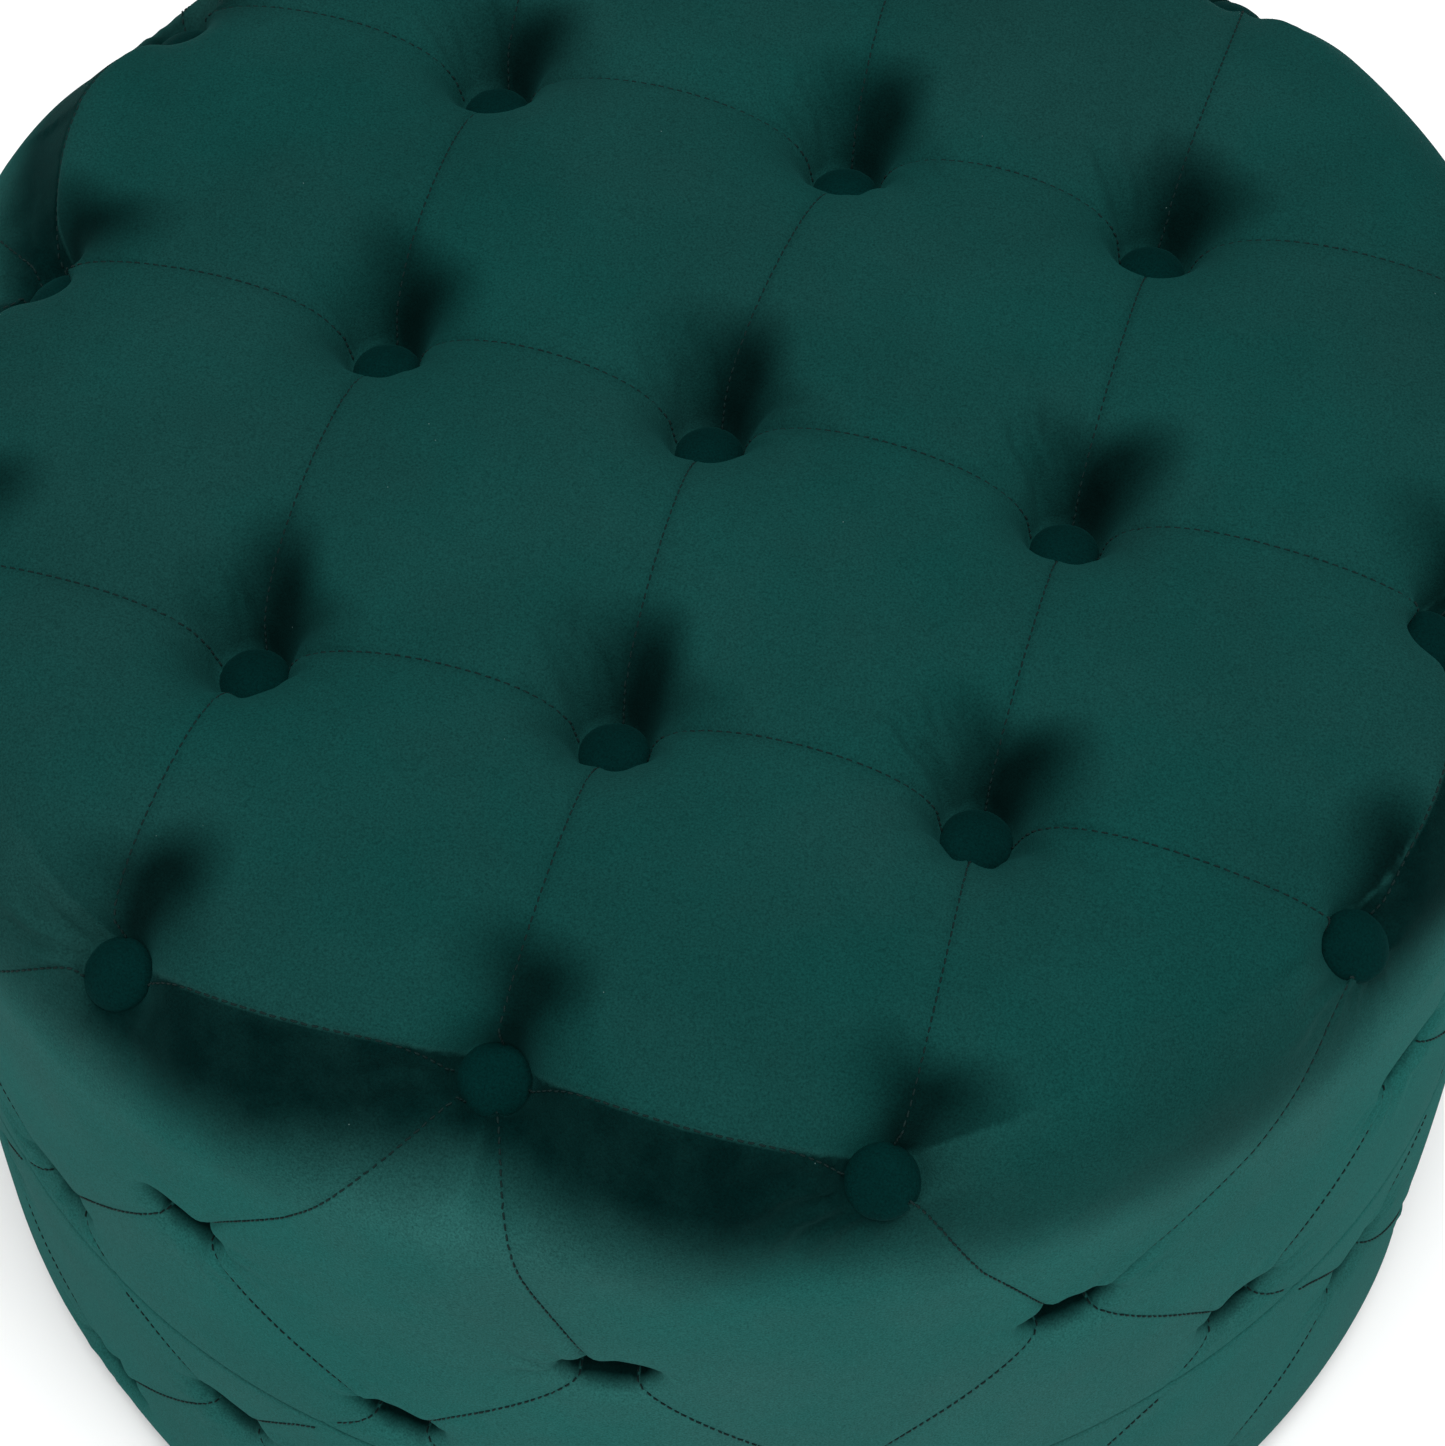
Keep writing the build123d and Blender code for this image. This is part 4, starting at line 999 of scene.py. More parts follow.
# ---------------------------------------------------------------------------
# Stitches in the seams
# ---------------------------------------------------------------------------
def stitches():
    """Short thread stitches along every seam: points and faces for the lid and for the tub."""
    g = np.random.default_rng(41)
    out = {"lid": ([], []), "tub": ([], [])}
    count = {"lid": 0, "tub": 0}
    sides = 5
    ts = np.array([-1.25, -0.85, 0.85, 1.25])
    rad = np.array([0.08, 0.36, 0.36, 0.08])
    lift = np.array([-0.45, 0.02, 0.02, -0.45])
    ang = 2 * math.pi * np.arange(sides) / sides
    faces = []
    for r in range(len(ts) - 1):
        for k in range(sides):
            a, b = r * sides + k, r * sides + (k + 1) % sides
            faces.append((a, b, b + sides, a + sides))
    faces = np.array(faces)
    per = sides * len(ts)
    for ids in seam_ids:
        q = np.array([to_new[i] for i in ids if i in to_new])
        P, Nn = X[q], seam_normal[q]
        d = np.concatenate([[0], np.cumsum(np.linalg.norm(np.diff(P, axis=0), axis=1))])
        at = np.arange(3.2, d[-1] - 3.0, 3.55)
        for m in at:
            m = m + g.normal(0, 0.12)
            c = np.array([np.interp(m, d, P[:, k]) for k in range(3)])
            n = np.array([np.interp(m, d, Nn[:, k]) for k in range(3)])
            t = np.array([np.interp(m + 1, d, P[:, k]) - np.interp(m - 1, d, P[:, k]) for k in range(3)])
            n /= np.linalg.norm(n)
            t -= n * (t @ n)
            t /= np.linalg.norm(t)
            b = np.cross(n, t)
            skew = g.normal(0, 0.10)
            t = t + skew * b
            z = c[2]
            if abs(z - SPLIT_Z) < 5.0:
                continue
            who = "lid" if z > SPLIT_Z else "tub"
            c = c.copy()
            c[2] = split_shift(np.array([z]), 1 if who == "lid" else -1)[0]
            c = c + 0.42 * n
            ring_ = np.cos(ang)[None, :, None] * b + np.sin(ang)[None, :, None] * n
            v = c + (ts * (1 + g.normal(0, 0.05)))[:, None, None] * t + lift[:, None, None] * n + rad[:, None, None] * ring_
            out[who][0].append(v.reshape(-1, 3))
            out[who][1].append(faces + count[who])
            count[who] += per
    return {k: (np.concatenate(v), np.concatenate(f)) for k, (v, f) in out.items()}


sewn = stitches()
lid_stitches = make_mesh("lid_seam_stitches", *sewn["lid"])
base_stitches = make_mesh("base_seam_stitches", *sewn["tub"])


# ---------------------------------------------------------------------------
# Covered buttons: velvet drawn over a low dome and gathered under its edge
# ---------------------------------------------------------------------------
def covered_button(height, side_h, g):
    m = 56
    r_edge = BUTTON_R - 0.9
    prof = []
    for r in np.linspace(0, r_edge - 0.6, 11):
        prof.append((r, side_h + (height - side_h) * (1 - (r / r_edge) ** 2) ** 0.86))
    for t in np.linspace(0.12, 1.0, 9):
        a = t * math.pi * 0.92
        prof.append((r_edge - 0.6 + 1.42 * math.sin(a) ** 0.9, side_h * 0.52 + side_h * 0.5 * math.cos(a)))
    prof += [(BUTTON_R - 2.4, 0.12), (BUTTON_R - 5.0, 0.0), (3.0, 0.0), (0.0, 0.0)]
    prof = np.array(prof)
    n = len(prof)
    a = 2 * math.pi * np.arange(m) / m
    folds = sum(g.uniform(0.35, 1.0) * np.cos(k * a + g.uniform(0, 6.3)) for k in (7, 10, 13, 17)) / 2.2
    slow = sum(g.uniform(0.3, 1.0) * np.cos(k * a + g.uniform(0, 6.3)) for k in (1, 2, 3)) / 2
    verts, top = [], 0
    for k, (r, z) in enumerate(prof):
        edge = smooth(np.array((r - 7.5) / 4.5)) * (z > 0.1)
        low = smooth(np.array((side_h * 1.05 - z) / side_h)) * (z > 0.1)
        rr = r * (1 + 0.006 * slow * (r > 1)) - 0.20 * folds * low
        zz = z - (0.16 * folds * edge * (1 - low * 0.6)) + 0.16 * slow * (r / BUTTON_R) * (z > 1.0)
        if r < 0.01:
            rr = np.zeros(m)
        verts.append(np.stack([rr * np.cos(a), rr * np.sin(a), np.broadcast_to(zz, (m,))], -1))
    V = np.concatenate([verts[0][:1], *verts[1:-1], verts[-1][:1]])
    tris_, quads_ = [], []
    for k in range(m):
        tris_.append((0, 1 + k, 1 + (k + 1) % m))
    for r in range(n - 3):
        for k in range(m):
            p_, q_ = 1 + r * m + k, 1 + r * m + (k + 1) % m
            quads_.append((p_, p_ + m, q_ + m, q_))
    last, base_i = len(V) - 1, 1 + (n - 3) * m
    for k in range(m):
        tris_.append((last, base_i + (k + 1) % m, base_i + k))
    return V, np.array(tris_), np.array(quads_)


def button_group(name, group, height, side_h, seed):
    g = np.random.default_rng(seed)
    VV, TT, QQ, at = [], [], [], 0
    for f in group:
        V, T, Q = covered_button(height, side_h, g)
        x = np.cross([0.0, 0.0, 1.0] if abs(f.n[2]) < 0.9 else [0.0, 1.0, 0.0], f.n)
        x /= np.linalg.norm(x)
        y = np.cross(f.n, x)
        tilt = g.normal(0, 0.018, 2)
        nn = f.n + tilt[0] * x + tilt[1] * y
        W = f.back + V[:, :1] * x + V[:, 1:2] * y + V[:, 2:] * nn
        VV.append(W)
        TT.append(T + at)
        QQ.append(Q + at)
        at += len(V)
    return make_mesh(name, np.concatenate(VV), np.concatenate(TT), np.concatenate(QQ))


seat_group = [f for f in tufts if f.kind == "seat"]
rows_of = {r: [f for f in tufts if f.kind == "side" and f.key[0] == r] for r in (1, 2, 3, 4)}
buttons = {
    "lid_top_buttons": button_group("lid_top_buttons_covered", seat_group, BUTTON_H, 4.8, 101),
    "lid_buttons_row_1": button_group("lid_buttons_row_1_covered", rows_of[1], SIDE_BUTTON_H, 4.3, 102),
    "lid_buttons_row_2": button_group("lid_buttons_row_2_covered", rows_of[2], SIDE_BUTTON_H, 4.3, 103),
    "base_buttons_row_3": button_group("base_buttons_row_3_covered", rows_of[3], SIDE_BUTTON_H, 4.3, 104),
    "base_buttons_row_4": button_group("base_buttons_row_4_covered", rows_of[4], SIDE_BUTTON_H, 4.3, 105),
}


# ---------------------------------------------------------------------------
# Linings, pad and dust cover
# ---------------------------------------------------------------------------
def field(seed, ks, a, z, per_z):
    """A smooth uneven field round the cavity."""
    g = np.random.default_rng(seed)
    out = 0
    for k in ks:
        out = out + g.uniform(0.4, 1.0) * np.cos(k * a + g.uniform(0, 6.3) + g.normal(0, 1.0) * z * per_z)
    return out / len(ks)


def ring_sheet(name, inner_r, outer_r, z0, z1, seed, cap=None):
    """Lining cloth round the inside of a wall, with a lapped joint at the back. cap carries it over a rim to that radius."""
    m, rows = ((480, 34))
    a = 2 * math.pi * np.arange(m) / m
    lap = np.exp(-(((a - math.pi / 2) * inner_r) / 9.0) ** 4)
    path = []
    for z in np.linspace(z0, z1, rows):
        path.append((outer_r, z, 0.0))
    if cap:
        t = 1.0
        path[-1] = (outer_r, z1 + 0.1, 0.0)
        path += [(cap, z1 + 0.1, 0.0), (cap + 0.05, z1 + 0.5, 0.0), (cap - 0.2, z1 + 0.1 + t, 0.0), (cap - 2.0, z1 + 0.1 + t, 0.0), (outer_r + 0.4, z1 + 0.1 + t, 0.0), (outer_r - 0.3, z1 + t, 0.0), (inner_r + 0.15, z1 + 0.6, 0.2)]
    for z in np.linspace(z1, z0, rows):
        path.append((inner_r, z, 1.0))
    P = []
    for R, z, free_ in path:
        u = (z - z0) / (z1 - z0)
        slack = free_ * (0.35 * (1 + field(seed, (5, 9, 14, 22, 35), a, z, 0.02)) * math.sin(math.pi * min(max(u, 0), 1)) ** 0.6 + 0.5 * lap)
        rr = R - slack
        P.append(np.stack([rr * np.cos(a), rr * np.sin(a), np.full(m, z)], -1))
    n = len(P)
    V = np.concatenate(P)
    q = []
    for r in range(n):
        r2 = (r + 1) % n
        k = np.arange(m)
        k2 = (k + 1) % m
        q.append(np.stack([r * m + k, r * m + k2, r2 * m + k2, r2 * m + k], -1))
    return make_mesh(name, V, np.concatenate(q), crease=50)


def disc_sheet(name, R, z_low, z_high, shape, seed, face):
    """A thin closed disc of cloth. shape(r, a) lifts the face that shows: 1 for the top, -1 for the underside."""
    m, rows = ((360, 52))
    a = 2 * math.pi * np.arange(m) / m
    rr = np.concatenate([np.linspace(0, 1, rows)[1:] ** 0.8 * (R - 1.0), [R - 0.35, R]])
    show, back = [], []
    z_show, z_back = (z_high, z_low) if face > 0 else (z_low, z_high)
    mid = (z_low + z_high) / 2
    for r in rr:
        round_off = 0.0 if r < R - 0.5 else (0.35 if r < R - 0.1 else 1.0)
        zs = (z_show + face * shape(r, a)) * (1 - round_off) + mid * round_off
        show.append(np.stack([r * np.cos(a), r * np.sin(a), np.broadcast_to(zs, (m,))], -1))
        if r < R - 0.1:
            back.append(np.stack([r * np.cos(a), r * np.sin(a), np.full(m, z_back)], -1))
    c_show = np.array([[0, 0, z_show + face * float(np.mean(shape(0.0, a)))]])
    c_back = np.array([[0, 0, z_back]])
    V = np.concatenate([c_show, *show, *back[::-1], c_back])
    n = len(show) + len(back)
    t_, q_ = [], []
    k = np.arange(m)
    k2 = (k + 1) % m
    t_.append(np.stack([np.zeros(m, int), 1 + k, 1 + k2], -1))
    for r in range(n - 1):
        q_.append(np.stack([1 + r * m + k, 1 + (r + 1) * m + k, 1 + (r + 1) * m + k2, 1 + r * m + k2], -1))
    t_.append(np.stack([np.full(m, len(V) - 1), 1 + (n - 1) * m + k2, 1 + (n - 1) * m + k], -1))
    T, Q = np.concatenate(t_), np.concatenate(q_)
    if face < 0:
        T, Q = T[:, ::-1], Q[:, ::-1]
    return make_mesh(name, V, T, Q, crease=60)


tub_lining = ring_sheet("tub_lining_cloth", 261.9, 262.85, 25.05, 211.0, 61, cap=268.2)
cavity_lining = ring_sheet("lid_lining_cloth", 270.9, 271.85, 215.0, 368.75, 62)


def pucker(r, a):
    """Cloth pulled to staples round its edge."""
    edge = smooth(np.array((r - 225.0) / 40.0))
    return 0.14 * edge * (1 + np.cos(40 * a + 1.1)) * 0.5 + 0.05 * (1 + field(71, (3, 5, 8), a, r, 0.03)) * smooth(np.array(r / 60.0))


def dust_shape(r, a):
    hem = smooth(np.array((r - 259.0) / 1.2)) * 0.32
    return hem + 0.22 * smooth(np.array((r - 215.0) / 44.0)) * (1 - smooth(np.array((r - 262.0) / 4.0))) * (0.5 + 0.5 * np.cos(36 * a - math.radians(5.0) * 36)) + 0.16 * (field(72, (2, 3, 5, 9), a, r, 0.05) + 0.2) * smooth(np.array(r / 50.0))


def felt_shape(r, a):
    return 0.12 * field(73, (2, 4, 7, 11), a, r, 0.08) * smooth(np.array(r / 40.0)) - 0.25 * smooth(np.array((r - 255.0) / 6.0))


ceiling = disc_sheet("lid_ceiling_cloth", 271.5, 369.0, 370.0, lambda r, a: pucker(r, a) * 0.8, 63, -1)
dust = disc_sheet("dust_cover_cloth", 272.0, 7.6, 8.4, dust_shape, 64, -1)
pad = disc_sheet("floor_felt_pad", 261.3, 25.0, 28.0, felt_shape, 65, 1)


# ---------------------------------------------------------------------------
# Finishes
# ---------------------------------------------------------------------------
class Nodes:
    """A material being put together."""

    def __init__(self, name, rough=0.6, spec=0.3, metallic=0.0):
        self.m = bpy.data.materials.new(name)
        self.m.use_nodes = True
        self.nt = self.m.node_tree
        self.b = self.nt.nodes["Principled BSDF"]
        self.b.inputs["Roughness"].default_value = rough
        self.b.inputs["Specular IOR Level"].default_value = spec
        self.b.inputs["Metallic"].default_value = metallic
        self.tc = self.add("ShaderNodeTexCoord")
        self.at = self.tc.outputs["Object"]

    def add(self, kind, **props):
        n = self.nt.nodes.new(kind)
        for k, v in props.items():
            setattr(n, k, v)
        return n

    def link(self, a, b):
        self.nt.links.new(a, b)

    def noise(self, scale, detail=3.0, rough=0.55, vec=None, stretch=None):
        n = self.add("ShaderNodeTexNoise")
        n.inputs["Scale"].default_value = scale
        n.inputs["Detail"].default_value = detail
        n.inputs["Roughness"].default_value = rough
        src = vec or self.at
        if stretch:
            mp = self.add("ShaderNodeMapping")
            mp.inputs["Scale"].default_value = stretch
            self.link(src, mp.inputs["Vector"])
            src = mp.outputs["Vector"]
        self.link(src, n.inputs["Vector"])
        return n.outputs["Fac"]

    def ramp(self, fac, stops, interp="LINEAR"):
        r = self.add("ShaderNodeValToRGB")
        cr_ = r.color_ramp
        cr_.interpolation = interp
        while len(cr_.elements) < len(stops):
            cr_.elements.new(0.5)
        for e, (pos, col) in zip(cr_.elements, stops):
            e.position = pos
            e.color = (*col, 1)
        self.link(fac, r.inputs["Fac"])
        return r.outputs["Color"]

    def math(self, op, a, b=None, clamp=False):
        n = self.add("ShaderNodeMath", operation=op, use_clamp=clamp)
        for k, v in enumerate((a, b)):
            if v is None:
                continue
            if isinstance(v, (int, float)):
                n.inputs[k].default_value = v
            else:
                self.link(v, n.inputs[k])
        return n.outputs[0]

    def mix(self, kind, fac, a, b):
        n = self.add("ShaderNodeMix", data_type="RGBA", blend_type=kind)
        for sock, v in ((n.inputs["Factor"], fac), (n.inputs[6], a), (n.inputs[7], b)):
            if isinstance(v, (int, float)):
                sock.default_value = v
            elif isinstance(v, tuple):
                sock.default_value = (*v, 1)
            else:
                self.link(v, sock)
        return n.outputs[2]

    def bump(self, height, distance, strength=1.0, normal=None):
        n = self.add("ShaderNodeBump")
        n.inputs["Strength"].default_value = strength
        n.inputs["Distance"].default_value = distance
        self.link(height, n.inputs["Height"])
        if normal is not None:
            self.link(normal, n.inputs["Normal"])
        return n.outputs["Normal"]

    def done(self, color, normal=None, rough=None):
        self.link(color, self.b.inputs["Base Color"])
        if normal is not None:
            self.link(normal, self.b.inputs["Normal"])
        if rough is not None:
            self.link(rough, self.b.inputs["Roughness"])
        return self.m


# the velvet's colours: the seat's own colour; the wall's painted lighter, a painted sheen; the dark ones painted
# shade, for the laid pile, the shoulder and the side's pockets; the buttons' painted darker, the shade in their pits
SEAT_STANDS, SEAT_PAINTED_SHADE = (0.0043, 0.0358, 0.0330), (0.0001, 0.0036, 0.0035)
WALL_PAINTED_SHEEN, WALL_PAINTED_SHADE = (0.0165, 0.0930, 0.0850), (0.0001, 0.0068, 0.0066)
BUTTON_PAINTED_SHADE, BUTTON_PAINTED_DEEP_SHADE = (0.0006, 0.0166, 0.0158), (0.0002, 0.0102, 0.0098)


def velvet(name, stands, pressed_shade, wall=None, wall_shade_col=None):
    k = Nodes(name, rough=0.97, spec=0.02)
    k.b.inputs["Sheen Weight"].default_value = 0.03
    k.b.inputs["Sheen Roughness"].default_value = 0.45
    k.b.inputs["Sheen Tint"].default_value = (0.1, 0.8, 0.75, 1)
    # the pile's grain, and a faint weft showing through it
    grain = k.noise(1250, 3, 0.72)
    weft = k.noise(420, 1.5, 0.5, stretch=(1.0, 1.0, 3.6))
    height = k.math("ADD", grain, k.math("MULTIPLY", weft, 0.35))
    normal = k.bump(height, 0.0004, 0.55)
    # where a hand has brushed it the pile stands a little differently
    brushed = k.noise(11, 4, 0.62)
    marks = k.noise(48, 3, 0.6)
    color = k.ramp(brushed, [(0.30, tuple(0.90 * c for c in stands)), (0.70, tuple(1.10 * c for c in stands))])
    # the dark colour, painted shade
    down = k.ramp(brushed, [(0.30, tuple(0.85 * c for c in pressed_shade)), (0.70, tuple(1.15 * c for c in pressed_shade))])
    if wall:
        # painted sheen: the wall's panels take a lighter colour than the seat's
        part = k.add("ShaderNodeAttribute", attribute_name="wall")
        wall_sheen_col = k.ramp(brushed, [(0.30, tuple(0.93 * c for c in wall)), (0.70, tuple(1.07 * c for c in wall))])
        color = k.mix("MIX", part.outputs["Fac"], color, wall_sheen_col)
        down = k.mix("MIX", part.outputs["Fac"], down, wall_shade_col)
        # painted shade: the dark colour is mixed in by the share kept on the mesh
        at = k.add("ShaderNodeAttribute", attribute_name="pressed_shade")
        # the edge of a patch of painted shade is ragged
        rag = k.math("MULTIPLY", k.math("SUBTRACT", marks, 0.5), 0.22)
        rag = k.math("MULTIPLY", rag, k.math("GREATER_THAN", at.outputs["Fac"], 0.02))
        color = k.mix("MIX", k.math("ADD", at.outputs["Fac"], rag, clamp=True), color, down)
    else:
        # the buttons' two colours are both painted shade, mixed at random
        color = k.mix("MIX", marks, color, down)
    # the dye looks greener where the pile is pressed, greyer where it stands
    tone = k.noise(8.5, 4, 0.62)
    color = k.mix("MULTIPLY", 1.0, color, k.ramp(tone, [(0.36, (0.68, 0.93, 0.90)), (0.64, (1.10, 0.89, 0.88))]))
    speck_tone = k.ramp(grain, [(0.30, (0.48, 0.54, 0.54)), (0.50, (1.0, 1.0, 1.0)), (0.72, (1.52, 1.42, 1.42))])
    color = k.mix("MULTIPLY", 0.8, color, speck_tone)
    # specks of lint
    vo = k.add("ShaderNodeTexVoronoi")
    vo.inputs["Scale"].default_value = 210
    k.link(k.at, vo.inputs["Vector"])
    near_ = k.math("LESS_THAN", vo.outputs["Distance"], 0.045)
    sep = k.add("ShaderNodeSeparateColor")
    k.link(vo.outputs["Color"], sep.inputs["Color"])
    rare = k.math("GREATER_THAN", sep.outputs[0], 0.975)
    color = k.mix("MIX", k.math("MULTIPLY", k.math("MULTIPLY", near_, rare), 0.35), color, (0.16, 0.26, 0.25))
    return k.done(color, normal)


def cloth(name, base, pale, scale=900, bump=0.0003, rough=0.85):
    """Plain woven lining: threads one over the other."""
    k = Nodes(name, rough=rough, spec=0.25)
    a = k.add("ShaderNodeTexWave", wave_type="BANDS", bands_direction="DIAGONAL")
    a.inputs["Scale"].default_value = scale
    a.inputs["Distortion"].default_value = 1.2
    k.link(k.at, a.inputs["Vector"])
    b = k.add("ShaderNodeTexWave", wave_type="BANDS", bands_direction="Z")
    b.inputs["Scale"].default_value = scale
    b.inputs["Distortion"].default_value = 1.2
    k.link(k.at, b.inputs["Vector"])
    weave = k.math("MULTIPLY", a.outputs["Fac"], b.outputs["Fac"])
    dirt = k.noise(9, 4, 0.6)
    color = k.mix("MIX", k.math("MULTIPLY", weave, 0.7), base, pale)
    color = k.mix("MULTIPLY", 0.5, color, k.ramp(dirt, [(0.3, (0.75, 0.75, 0.75)), (0.7, (1.2, 1.2, 1.2))]))
    return k.done(color, k.bump(weave, bump, 0.6))


def felt(name, base, pale, scale=700):
    """Matted fibres."""
    k = Nodes(name, rough=0.96, spec=0.1)
    k.b.inputs["Sheen Weight"].default_value = 0.15
    f1 = k.noise(scale, 4, 0.75, stretch=(1, 0.35, 1))
    f2 = k.noise(scale * 0.8, 4, 0.75, stretch=(0.35, 1, 1))
    fib = k.math("MAXIMUM", f1, f2)
    blot = k.noise(25, 3, 0.6)
    color = k.ramp(fib, [(0.42, base), (0.72, pale)])
    color = k.mix("MULTIPLY", 0.5, color, k.ramp(blot, [(0.3, (0.8, 0.8, 0.8)), (0.7, (1.15, 1.15, 1.15))]))
    return k.done(color, k.bump(fib, 0.0006, 0.7))


def plywood(name, flat):
    """Birch plywood. flat boards have their plies level; a bent wall has them round its axis."""
    k = Nodes(name, rough=0.62, spec=0.25)
    sx = k.add("ShaderNodeSeparateXYZ")
    k.link(k.at, sx.inputs["Vector"])
    geo = k.add("ShaderNodeNewGeometry")
    sn = k.add("ShaderNodeSeparateXYZ")
    k.link(geo.outputs["Normal"], sn.inputs["Vector"])
    up = k.math("ABSOLUTE", sn.outputs["Z"])
    if flat:
        depth = sx.outputs["Z"]
        edge = k.math("LESS_THAN", up, 0.5)
        grain = k.noise(14, 6, 0.6, stretch=(1.0, 14.0, 1.0))
        fine = k.noise(180, 4, 0.6, stretch=(0.2, 6.0, 1.0))
    else:
        r2 = k.math("ADD", k.math("MULTIPLY", sx.outputs["X"], sx.outputs["X"]), k.math("MULTIPLY", sx.outputs["Y"], sx.outputs["Y"]))
        depth = k.math("SQRT", r2)
        edge = k.math("GREATER_THAN", up, 0.5)
        grain = k.noise(12, 6, 0.6, stretch=(6.0, 6.0, 0.6))
        fine = k.noise(160, 4, 0.6, stretch=(3.0, 3.0, 0.15))
    ply = k.math("PINGPONG", depth, 0.0016)
    ply = k.math("GREATER_THAN", ply, 0.0008)
    wood = k.ramp(grain, [(0.30, (0.40, 0.25, 0.13)), (0.48, (0.60, 0.43, 0.25)), (0.62, (0.66, 0.49, 0.30)), (0.80, (0.50, 0.33, 0.18))])
    wood = k.mix("MULTIPLY", 0.6, wood, k.ramp(fine, [(0.3, (0.72, 0.68, 0.62)), (0.6, (1.08, 1.06, 1.02))]))
    layers = k.mix("MIX", ply, (0.58, 0.41, 0.23), (0.26, 0.15, 0.075))
    layers = k.mix("MULTIPLY", 0.7, layers, k.ramp(fine, [(0.3, (0.6, 0.58, 0.55)), (0.65, (1.1, 1.08, 1.05))]))
    color = k.mix("MIX", edge, wood, layers)
    return k.done(color, k.bump(fine, 0.00025, 0.5))


def metal(name, base, rough):
    k = Nodes(name, rough=rough, spec=0.5, metallic=1.0)
    brushed = k.noise(900, 3, 0.6, stretch=(1, 1, 0.15))
    dull = k.noise(160, 3, 0.6)
    color = k.mix("MULTIPLY", 0.6, base, k.ramp(dull, [(0.3, (0.7, 0.7, 0.72)), (0.7, (1.1, 1.1, 1.08))]))
    return k.done(color, k.bump(brushed, 0.00008, 0.5), k.math("ADD", k.math("MULTIPLY", dull, 0.25), rough - 0.1))


def moulded(name, base, rough):
    """Moulded plastic with a fine spark texture and scuffs."""
    k = Nodes(name, rough=rough, spec=0.4)
    spark = k.noise(1600, 2, 0.5)
    scuff = k.noise(90, 5, 0.7)
    color = k.mix("MIX", k.math("MULTIPLY", k.math("GREATER_THAN", scuff, 0.62), 0.25), base, tuple(min(1.0, c * 2.2 + 0.02) for c in base))
    return k.done(color, k.bump(spark, 0.0001, 0.5), k.math("ADD", k.math("MULTIPLY", scuff, 0.3), rough - 0.12))


def twisted(name, base, dark, scale=1500):
    """Thread or twine: strands laid round each other."""
    k = Nodes(name, rough=0.8, spec=0.15)
    w = k.add("ShaderNodeTexWave", wave_type="BANDS", bands_direction="DIAGONAL")
    w.inputs["Scale"].default_value = scale
    w.inputs["Distortion"].default_value = 2.0
    k.link(k.at, w.inputs["Vector"])
    fuzz = k.noise(2600, 2, 0.6)
    color = k.mix("MIX", w.outputs["Fac"], dark, base)
    color = k.mix("MULTIPLY", 0.5, color, k.ramp(fuzz, [(0.3, (0.7, 0.7, 0.7)), (0.7, (1.2, 1.2, 1.2))]))
    return k.done(color, k.bump(w.outputs["Fac"], 0.0002, 0.7))


def foam_finish(name):
    k = Nodes(name, rough=0.95, spec=0.1)
    vo = k.add("ShaderNodeTexVoronoi")
    vo.inputs["Scale"].default_value = 900
    k.link(k.at, vo.inputs["Vector"])
    color = k.ramp(vo.outputs["Distance"], [(0.0, (0.42, 0.36, 0.20)), (0.5, (0.80, 0.73, 0.50))])
    return k.done(color, k.bump(vo.outputs["Distance"], 0.0004, 0.8))


def floor_finish():
    k = Nodes("studio_floor", rough=0.9, spec=0.05)
    n_ = k.noise(3, 2, 0.5)
    return k.done(k.ramp(n_, [(0.0, (0.93, 0.93, 0.93)), (1.0, (0.95, 0.95, 0.95))]))


mat_velvet = velvet("velvet_teal", SEAT_STANDS, SEAT_PAINTED_SHADE, WALL_PAINTED_SHEEN, WALL_PAINTED_SHADE)
# the buttons' velvet is the same cloth, painted darker as painted shade in their pits
mat_button_shaded = velvet("velvet_teal_buttons_shaded", BUTTON_PAINTED_SHADE, BUTTON_PAINTED_DEEP_SHADE)
mat_thread = twisted("seam_thread", (0.0020, 0.0190, 0.0180), (0.0006, 0.0070, 0.0066))
mat_lining = cloth("lining_cloth_black", (0.010, 0.010, 0.011), (0.050, 0.050, 0.054))
mat_dust = felt("dust_cloth_black", (0.008, 0.008, 0.009), (0.036, 0.036, 0.038), 520)
mat_pad = felt("pad_felt_grey", (0.030, 0.032, 0.034), (0.115, 0.120, 0.125), 420)
mat_board = plywood("plywood_flat", True)
mat_bent = plywood("plywood_bent", False)
mat_zinc = metal("zinc_plated_steel", (0.62, 0.62, 0.58), 0.38)
mat_staple = metal("staple_wire", (0.60, 0.60, 0.60), 0.32)
mat_glide = moulded("glide_plastic_black", (0.018, 0.018, 0.019), 0.45)
mat_washer = moulded("washer_plastic_white", (0.66, 0.66, 0.63), 0.5)
mat_twine = twisted("twine_waxed", (0.60, 0.54, 0.40), (0.36, 0.30, 0.19), 900)
mat_foam = foam_finish("upholstery_foam")

for ob, mat, body, slot in (
    (lid_cover, mat_velvet, "lid", "velvet"), (base_cover, mat_velvet, "tub", "velvet"),
    (lid_stitches, mat_thread, "lid", "velvet"), (base_stitches, mat_thread, "tub", "velvet"),
    (buttons["lid_top_buttons"], mat_button_shaded, "lid", "button_velvet"),
    (buttons["lid_buttons_row_1"], mat_button_shaded, "lid", "button_velvet"),
    (buttons["lid_buttons_row_2"], mat_button_shaded, "lid", "button_velvet"),
    (buttons["base_buttons_row_3"], mat_button_shaded, "tub", "button_velvet"),
    (buttons["base_buttons_row_4"], mat_button_shaded, "tub", "button_velvet"),
    (tub_lining, mat_lining, "tub", "lining_cloth"), (cavity_lining, mat_lining, "lid", "lining_cloth"),
    (ceiling, mat_lining, "lid", "lining_cloth"), (dust, mat_dust, "tub", "dust_cloth"), (pad, mat_pad, "tub", "lining_cloth"),
):
    ob.data.materials.append(mat)
    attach(ob, body)

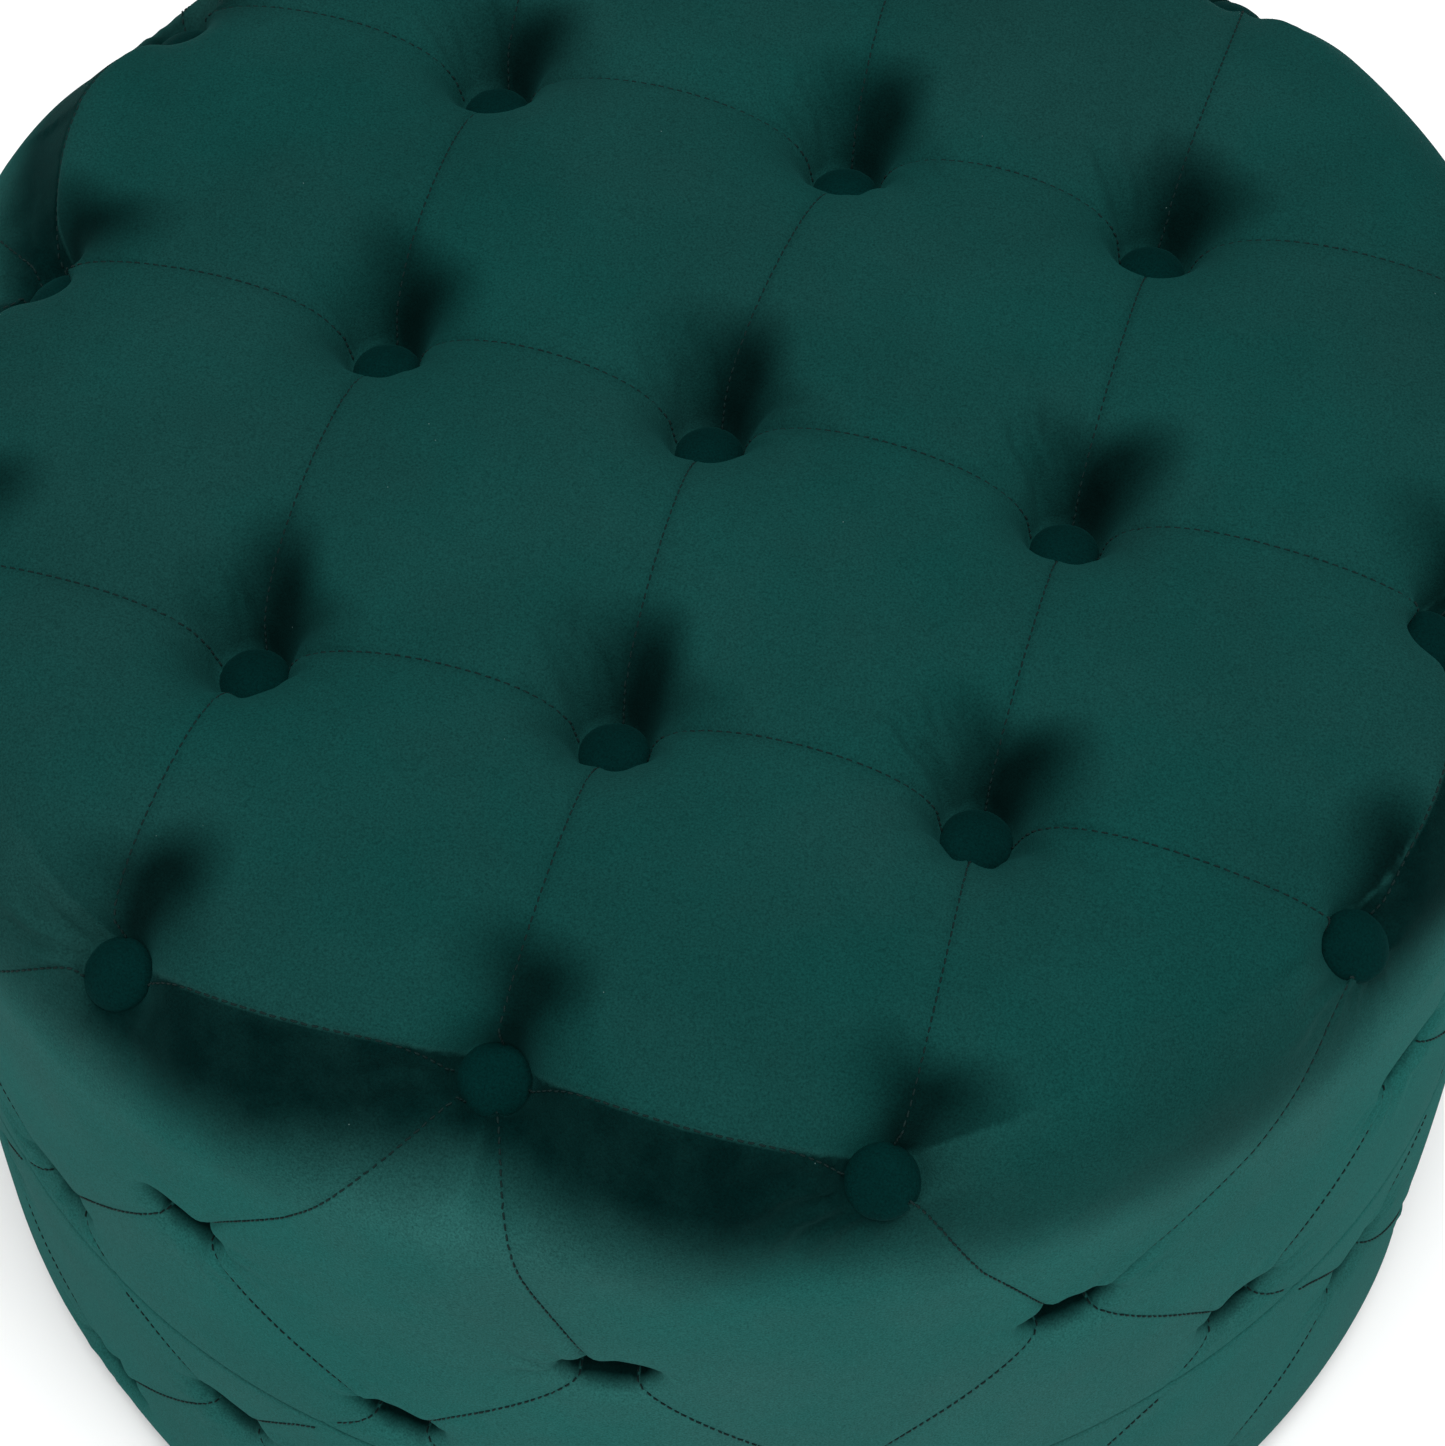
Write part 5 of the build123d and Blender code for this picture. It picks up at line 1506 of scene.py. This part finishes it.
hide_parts("lid_cover", "lid_top_foam", "lid_side_foam")
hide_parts("base_cover", "base_side_foam")
for node, ob in buttons.items():
    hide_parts(node)
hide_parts("base_lining")
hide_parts("lid_lining")
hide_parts("lid_ceiling_lining")
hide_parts("dust_cover")
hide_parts("floor_pad")

for node, mat in {
    "lid_board": mat_board, "floor_board": mat_board, "lid_wall": mat_bent, "base_wall": mat_bent, "inner_sleeve": mat_bent,
    "lid_board_screws": mat_zinc, "floor_screws": mat_zinc, "sleeve_screws": mat_zinc, "glide_screws": mat_zinc,
    "dust_cover_staples": mat_staple, "glides": mat_glide,
    "lid_top_washers": mat_washer, "lid_side_washers": mat_washer, "base_washers": mat_washer,
    "lid_top_twine": mat_twine, "lid_side_twine": mat_twine, "base_twine": mat_twine,
    "lid_top_foam": mat_foam, "lid_side_foam": mat_foam, "base_side_foam": mat_foam,
    "lid_cover": mat_velvet, "base_cover": mat_velvet,
    "lid_top_buttons": mat_button_shaded, "lid_buttons_row_1": mat_button_shaded, "lid_buttons_row_2": mat_button_shaded,
    "base_buttons_row_3": mat_button_shaded, "base_buttons_row_4": mat_button_shaded,
    "base_lining": mat_lining, "lid_lining": mat_lining, "lid_ceiling_lining": mat_lining,
    "floor_pad": mat_pad, "dust_cover": mat_dust,
}.items():
    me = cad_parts[node].data
    me.materials.clear()
    me.materials.append(mat)

# ---------------------------------------------------------------------------
# Camera, floor and light
# ---------------------------------------------------------------------------
cam_data = bpy.data.cameras.new("cam")
cam = bpy.data.objects.new("cam", cam_data)
scene.collection.objects.link(cam)
cam_data.lens = 103.4
cam_data.sensor_width = 36.0
cam_data.clip_start, cam_data.clip_end = 0.05, 50
eye, aim = Vector((0.2700, -0.8527, 1.6393)), Vector((0.0389, -0.1107, 0.421))
look = (aim - eye).normalized()
right = look.cross(Vector((0, 0, 1))).normalized()
up = right.cross(look)
roll = -0.00638
r2 = right * math.cos(roll) + up * math.sin(roll)
u2 = up * math.cos(roll) - right * math.sin(roll)
m3 = Matrix((r2, u2, -look)).transposed()
cam.matrix_world = Matrix.Translation(eye) @ m3.to_4x4()
scene.camera = cam

bpy.ops.mesh.primitive_plane_add(size=8, location=(0, 0, 0))
floor = bpy.context.object
floor.name = "floor"
floor.data.materials.append(floor_finish())

world = bpy.data.worlds.new("studio")
scene.world = world
world.use_nodes = True
bg = world.node_tree.nodes["Background"]
bg.inputs[0].default_value = (1, 1, 1, 1)
bg.inputs[1].default_value = 0.58
area_l = bpy.data.lights.new("key", "AREA")
area_l.energy = 92
area_l.size = 1.8
key = bpy.data.objects.new("key", area_l)
key.location = (0.35, -0.75, 2.9)
key.rotation_euler = (Vector((0, 0, 0.4)) - key.location).to_track_quat("-Z", "Y").to_euler()
scene.collection.objects.link(key)

scene.view_settings.view_transform = "Standard"
